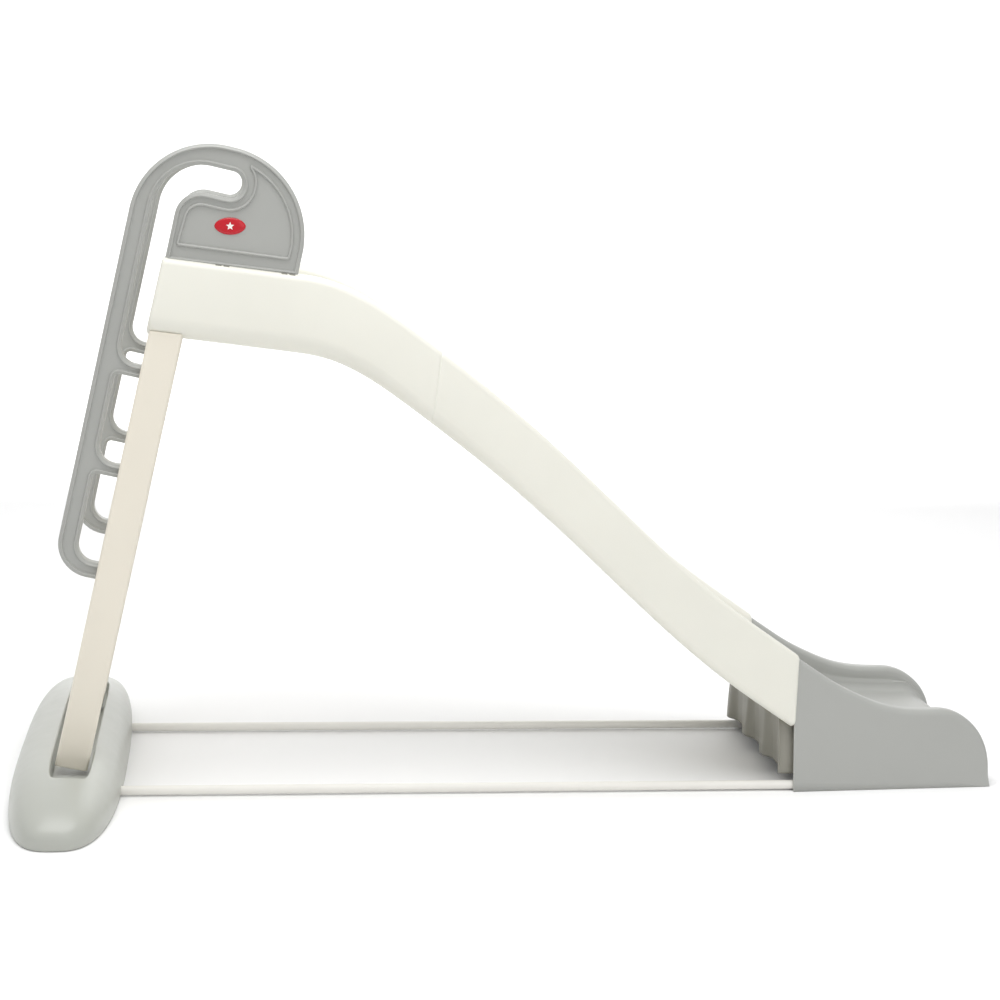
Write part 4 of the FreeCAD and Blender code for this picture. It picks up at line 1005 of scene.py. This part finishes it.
# --- rods ------------------------------------------------------------------------------------------
def make_rod(name):
    """Straight tube with eased ends."""
    low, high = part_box(name)
    radius = (high.z - low.z) / 2
    y, z = (low.y + high.y) / 2, (low.z + high.z) / 2
    angle = np.linspace(0, 2 * math.pi, 40, endpoint=False)
    rows = []
    for x, inset in eased_ends(low.x, high.x, 0.0015):
        ring = radius - inset
        rows.append(np.column_stack([np.full(40, x), y + ring * np.cos(angle), z + ring * np.sin(angle)]))
    Skin().grid(np.array(rows), wrap=True, first_cap=True, last_cap=True).piece(
        name + "_tube", rod_finish, "rod_finish", name)


for name in SIDES:
    make_rod(name + "_floor_rod")

# --- brace -----------------------------------------------------------------------------------------
brace_low, brace_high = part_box("exit_brace")
BRACE_WALL = 0.004
BRACE_RIDGES = 3
BRACE_DEEP = 0.013
BRACE_SHALLOW = 0.005
BRACE_TUCK = 0.016
BRACE_DRAW_IN = 0.018


def make_brace():
    """Pleated sheet across the exit's rear: its pleats deepen downwards, so that each is a slanting
    facet, and a leg turns forward along each side panel."""
    half = brace_high.y
    rear = brace_low.x
    height = brace_high.z - brace_low.z + BRACE_TUCK
    across = np.linspace(-1, 1, 181)
    share = np.linspace(0, 1, 24)[:, None]
    depth = BRACE_DEEP + (BRACE_SHALLOW - BRACE_DEEP) * share
    phase = (across + 1) / 2 * BRACE_RIDGES
    turn = phase - np.floor(phase)
    crest = np.clip(4.2 * np.minimum(turn, 1 - turn) - 0.35 * share - 0.25, 0, 1)
    soft = crest * crest * (3 - 2 * crest)
    side_half = half - BRACE_DRAW_IN * share ** 2
    x = rear + depth * soft
    y = side_half * across
    z = brace_low.z + height * share * np.ones_like(across)
    sheet = np.stack([x, np.broadcast_to(y, x.shape), z], axis=-1)
    leg_reach = np.array([brace_high.x - rear, 0.020, 0.008, 0.002])
    legs = []
    for side, column in ((-1, 0), (1, -1)):
        edge = sheet[:, column]
        leg = edge[:, None] + np.stack([leg_reach, 0 * leg_reach, 0 * leg_reach], axis=-1)[None]
        leg[..., 1] += side * np.array([0.0, 0.0, 0.0, -0.0008])
        legs.append(leg)
    full = np.concatenate([legs[0], sheet, legs[1][:, ::-1]], axis=1)
    # the sheet's darker grey material is painted shade for the shadow under the exit
    Skin().grid(full[:, ::-1]).piece(
        "brace_sheet", painted_shade_grey_plastic, "grey_plastic", "exit_brace", wall=BRACE_WALL, sharp=30)


make_brace()


# --- painted shade of the tab slots ----------------------------------------------------------------
TAB_LENGTH = 0.020
TAB_SHARE = 0.43
SLOT_OFFSET = 0.0062
SLOT_HALF = 0.0046
SLOT_LIFT = 0.0018
SLOT_PROUD = 0.0004


def make_painted_slot_shade(name, side):
    """Two short dark boxes at each tab, painted shade standing for the slots where the handrail's panel plugs
    into the wall's lip.
    """
    skin = Skin()
    section = box_loop(0.0014, 0.0013, 0.0006)
    face_y = side * (HALF_SPACING + RAIL_HALF + SLOT_PROUD)
    middles = [DECK_REAR_X + TAB_SHARE * DECK_LENGTH, DECK_FRONT_X - 0.8 * TAB_LENGTH]
    for middle in middles:
        for offset in (-SLOT_OFFSET, SLOT_OFFSET):
            x = middle + offset + np.array([-SLOT_HALF, SLOT_HALF])
            z = DECK_WALL + (DECK_FRONT_X - x) * DECK_FALL / DECK_LENGTH + SLOT_LIFT
            rows = np.stack([np.broadcast_to(x[:, None], (2, len(section))),
                             face_y + np.broadcast_to(section[:, 0], (2, len(section))),
                             z[:, None] + section[:, 1]], axis=-1)
            skin.grid(rows, wrap=True, first_cap=True, last_cap=True)
    # the dark grey of these boxes is painted shade for the inside of the slots
    skin.piece(name + "_painted_slot_shade", painted_shade_grey_plastic, "grey_plastic")


for name, side in SIDES.items():
    make_painted_slot_shade(name, side)

# --- materials on CAD nodes that keep their own shape ----------------------------------------------
FINISH_OF_NODE = {"foot_pads": rubber}
for name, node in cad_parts.items():
    for material_slot in node.material_slots:
        material_slot.material = FINISH_OF_NODE.get(name, zinc)


# --- studio ----------------------------------------------------------------------------------------
STUDIO_REACH = 14.0
SWEEP_START = 5.0
SWEEP_RADIUS = 2.5
SWEEP_HEIGHT = 9.0
FLOOR_DROP = 0.0005


def make_floor():
    """Wide pale floor just under the feet that sweeps up behind as a quarter circle and a wall."""
    turn = np.linspace(0, math.pi / 2, 33)
    wall_y = SWEEP_START + SWEEP_RADIUS
    y = np.concatenate([[-STUDIO_REACH], SWEEP_START + SWEEP_RADIUS * np.sin(turn), [wall_y]])
    z = np.concatenate([[0], SWEEP_RADIUS * (1 - np.cos(turn)), [SWEEP_HEIGHT]]) - FLOOR_DROP
    x = np.array([-STUDIO_REACH, STUDIO_REACH])
    points = np.stack(np.broadcast_arrays(x[None, :], y[:, None], z[:, None]), axis=-1)
    start = np.arange(len(y) - 1)[:, None] * 2
    mesh = bpy.data.meshes.new("studio_floor")
    mesh.from_pydata(points.reshape(-1, 3).tolist(), [], (start + np.array([0, 1, 3, 2])).tolist())
    mesh.shade_smooth()
    mesh.materials.append(floor_finish())
    item = bpy.data.objects.new("studio_floor", mesh)
    bpy.context.scene.collection.objects.link(item)


def make_light(name, place, target, size, power):
    """Soft square lamp aimed at a point."""
    data = bpy.data.lights.new(name, "AREA")
    data.shape = "SQUARE"
    data.size = size
    data.energy = power
    lamp = bpy.data.objects.new(name, data)
    bpy.context.scene.collection.objects.link(lamp)
    lamp.location = place
    lamp.rotation_mode = "QUATERNION"
    lamp.rotation_quaternion = (Vector(target) - Vector(place)).to_track_quat("-Z", "Y")


CAMERA_PLACE = Vector((-0.48229, -3.10579, 1.02231))
CAMERA_YAW = math.radians(6.076)
CAMERA_PITCH = math.radians(7.709)
CAMERA_ROLL = math.radians(1.4855)
CAMERA_LENS = 66.6
CAMERA_SHIFT = 0.08


def make_camera():
    """Camera to the right of the ladder, turned slightly towards the exit and looking a little down."""
    data = bpy.data.cameras.new("camera")
    data.lens = CAMERA_LENS
    data.shift_x = CAMERA_SHIFT
    data.shift_y = -CAMERA_SHIFT
    data.clip_end = 60
    data.dof.use_dof = False
    item = bpy.data.objects.new("camera", data)
    bpy.context.scene.collection.objects.link(item)
    ahead = Vector((math.sin(CAMERA_YAW) * math.cos(CAMERA_PITCH),
                    math.cos(CAMERA_YAW) * math.cos(CAMERA_PITCH), -math.sin(CAMERA_PITCH)))
    level = Vector((math.cos(CAMERA_YAW), -math.sin(CAMERA_YAW), 0))
    upright = level.cross(ahead)
    right = math.cos(CAMERA_ROLL) * level + math.sin(CAMERA_ROLL) * upright
    up = -math.sin(CAMERA_ROLL) * level + math.cos(CAMERA_ROLL) * upright
    item.matrix_world = Matrix.Translation(CAMERA_PLACE) @ Matrix((right, up, -ahead)).transposed().to_4x4()
    bpy.context.scene.camera = item


def make_studio():
    """White surroundings, one large soft lamp overhead and gentle fills."""
    world = bpy.data.worlds.new("studio")
    world.use_nodes = True
    world.node_tree.nodes["Background"].inputs["Color"].default_value = (1, 1, 1, 1)
    world.node_tree.nodes["Background"].inputs["Strength"].default_value = 0.68
    bpy.context.scene.world = world
    bpy.context.scene.view_settings.view_transform = "Standard"
    make_light("overhead", (-0.4, -0.5, 3.0), (-0.1, 0, 0.4), 2.4, 64)
    make_light("front_fill", (1.2, -3.6, 1.6), (0, 0, 0.4), 2.0, 12)
    make_light("back_rim", (1.0, 2.6, 2.4), (0, 0, 0.4), 2.0, 14)
    make_light("backdrop_wash", (0, 3.4, 3.2), (0, 7.5, 2.0), 4.0, 260)


make_floor()
make_studio()
make_camera()
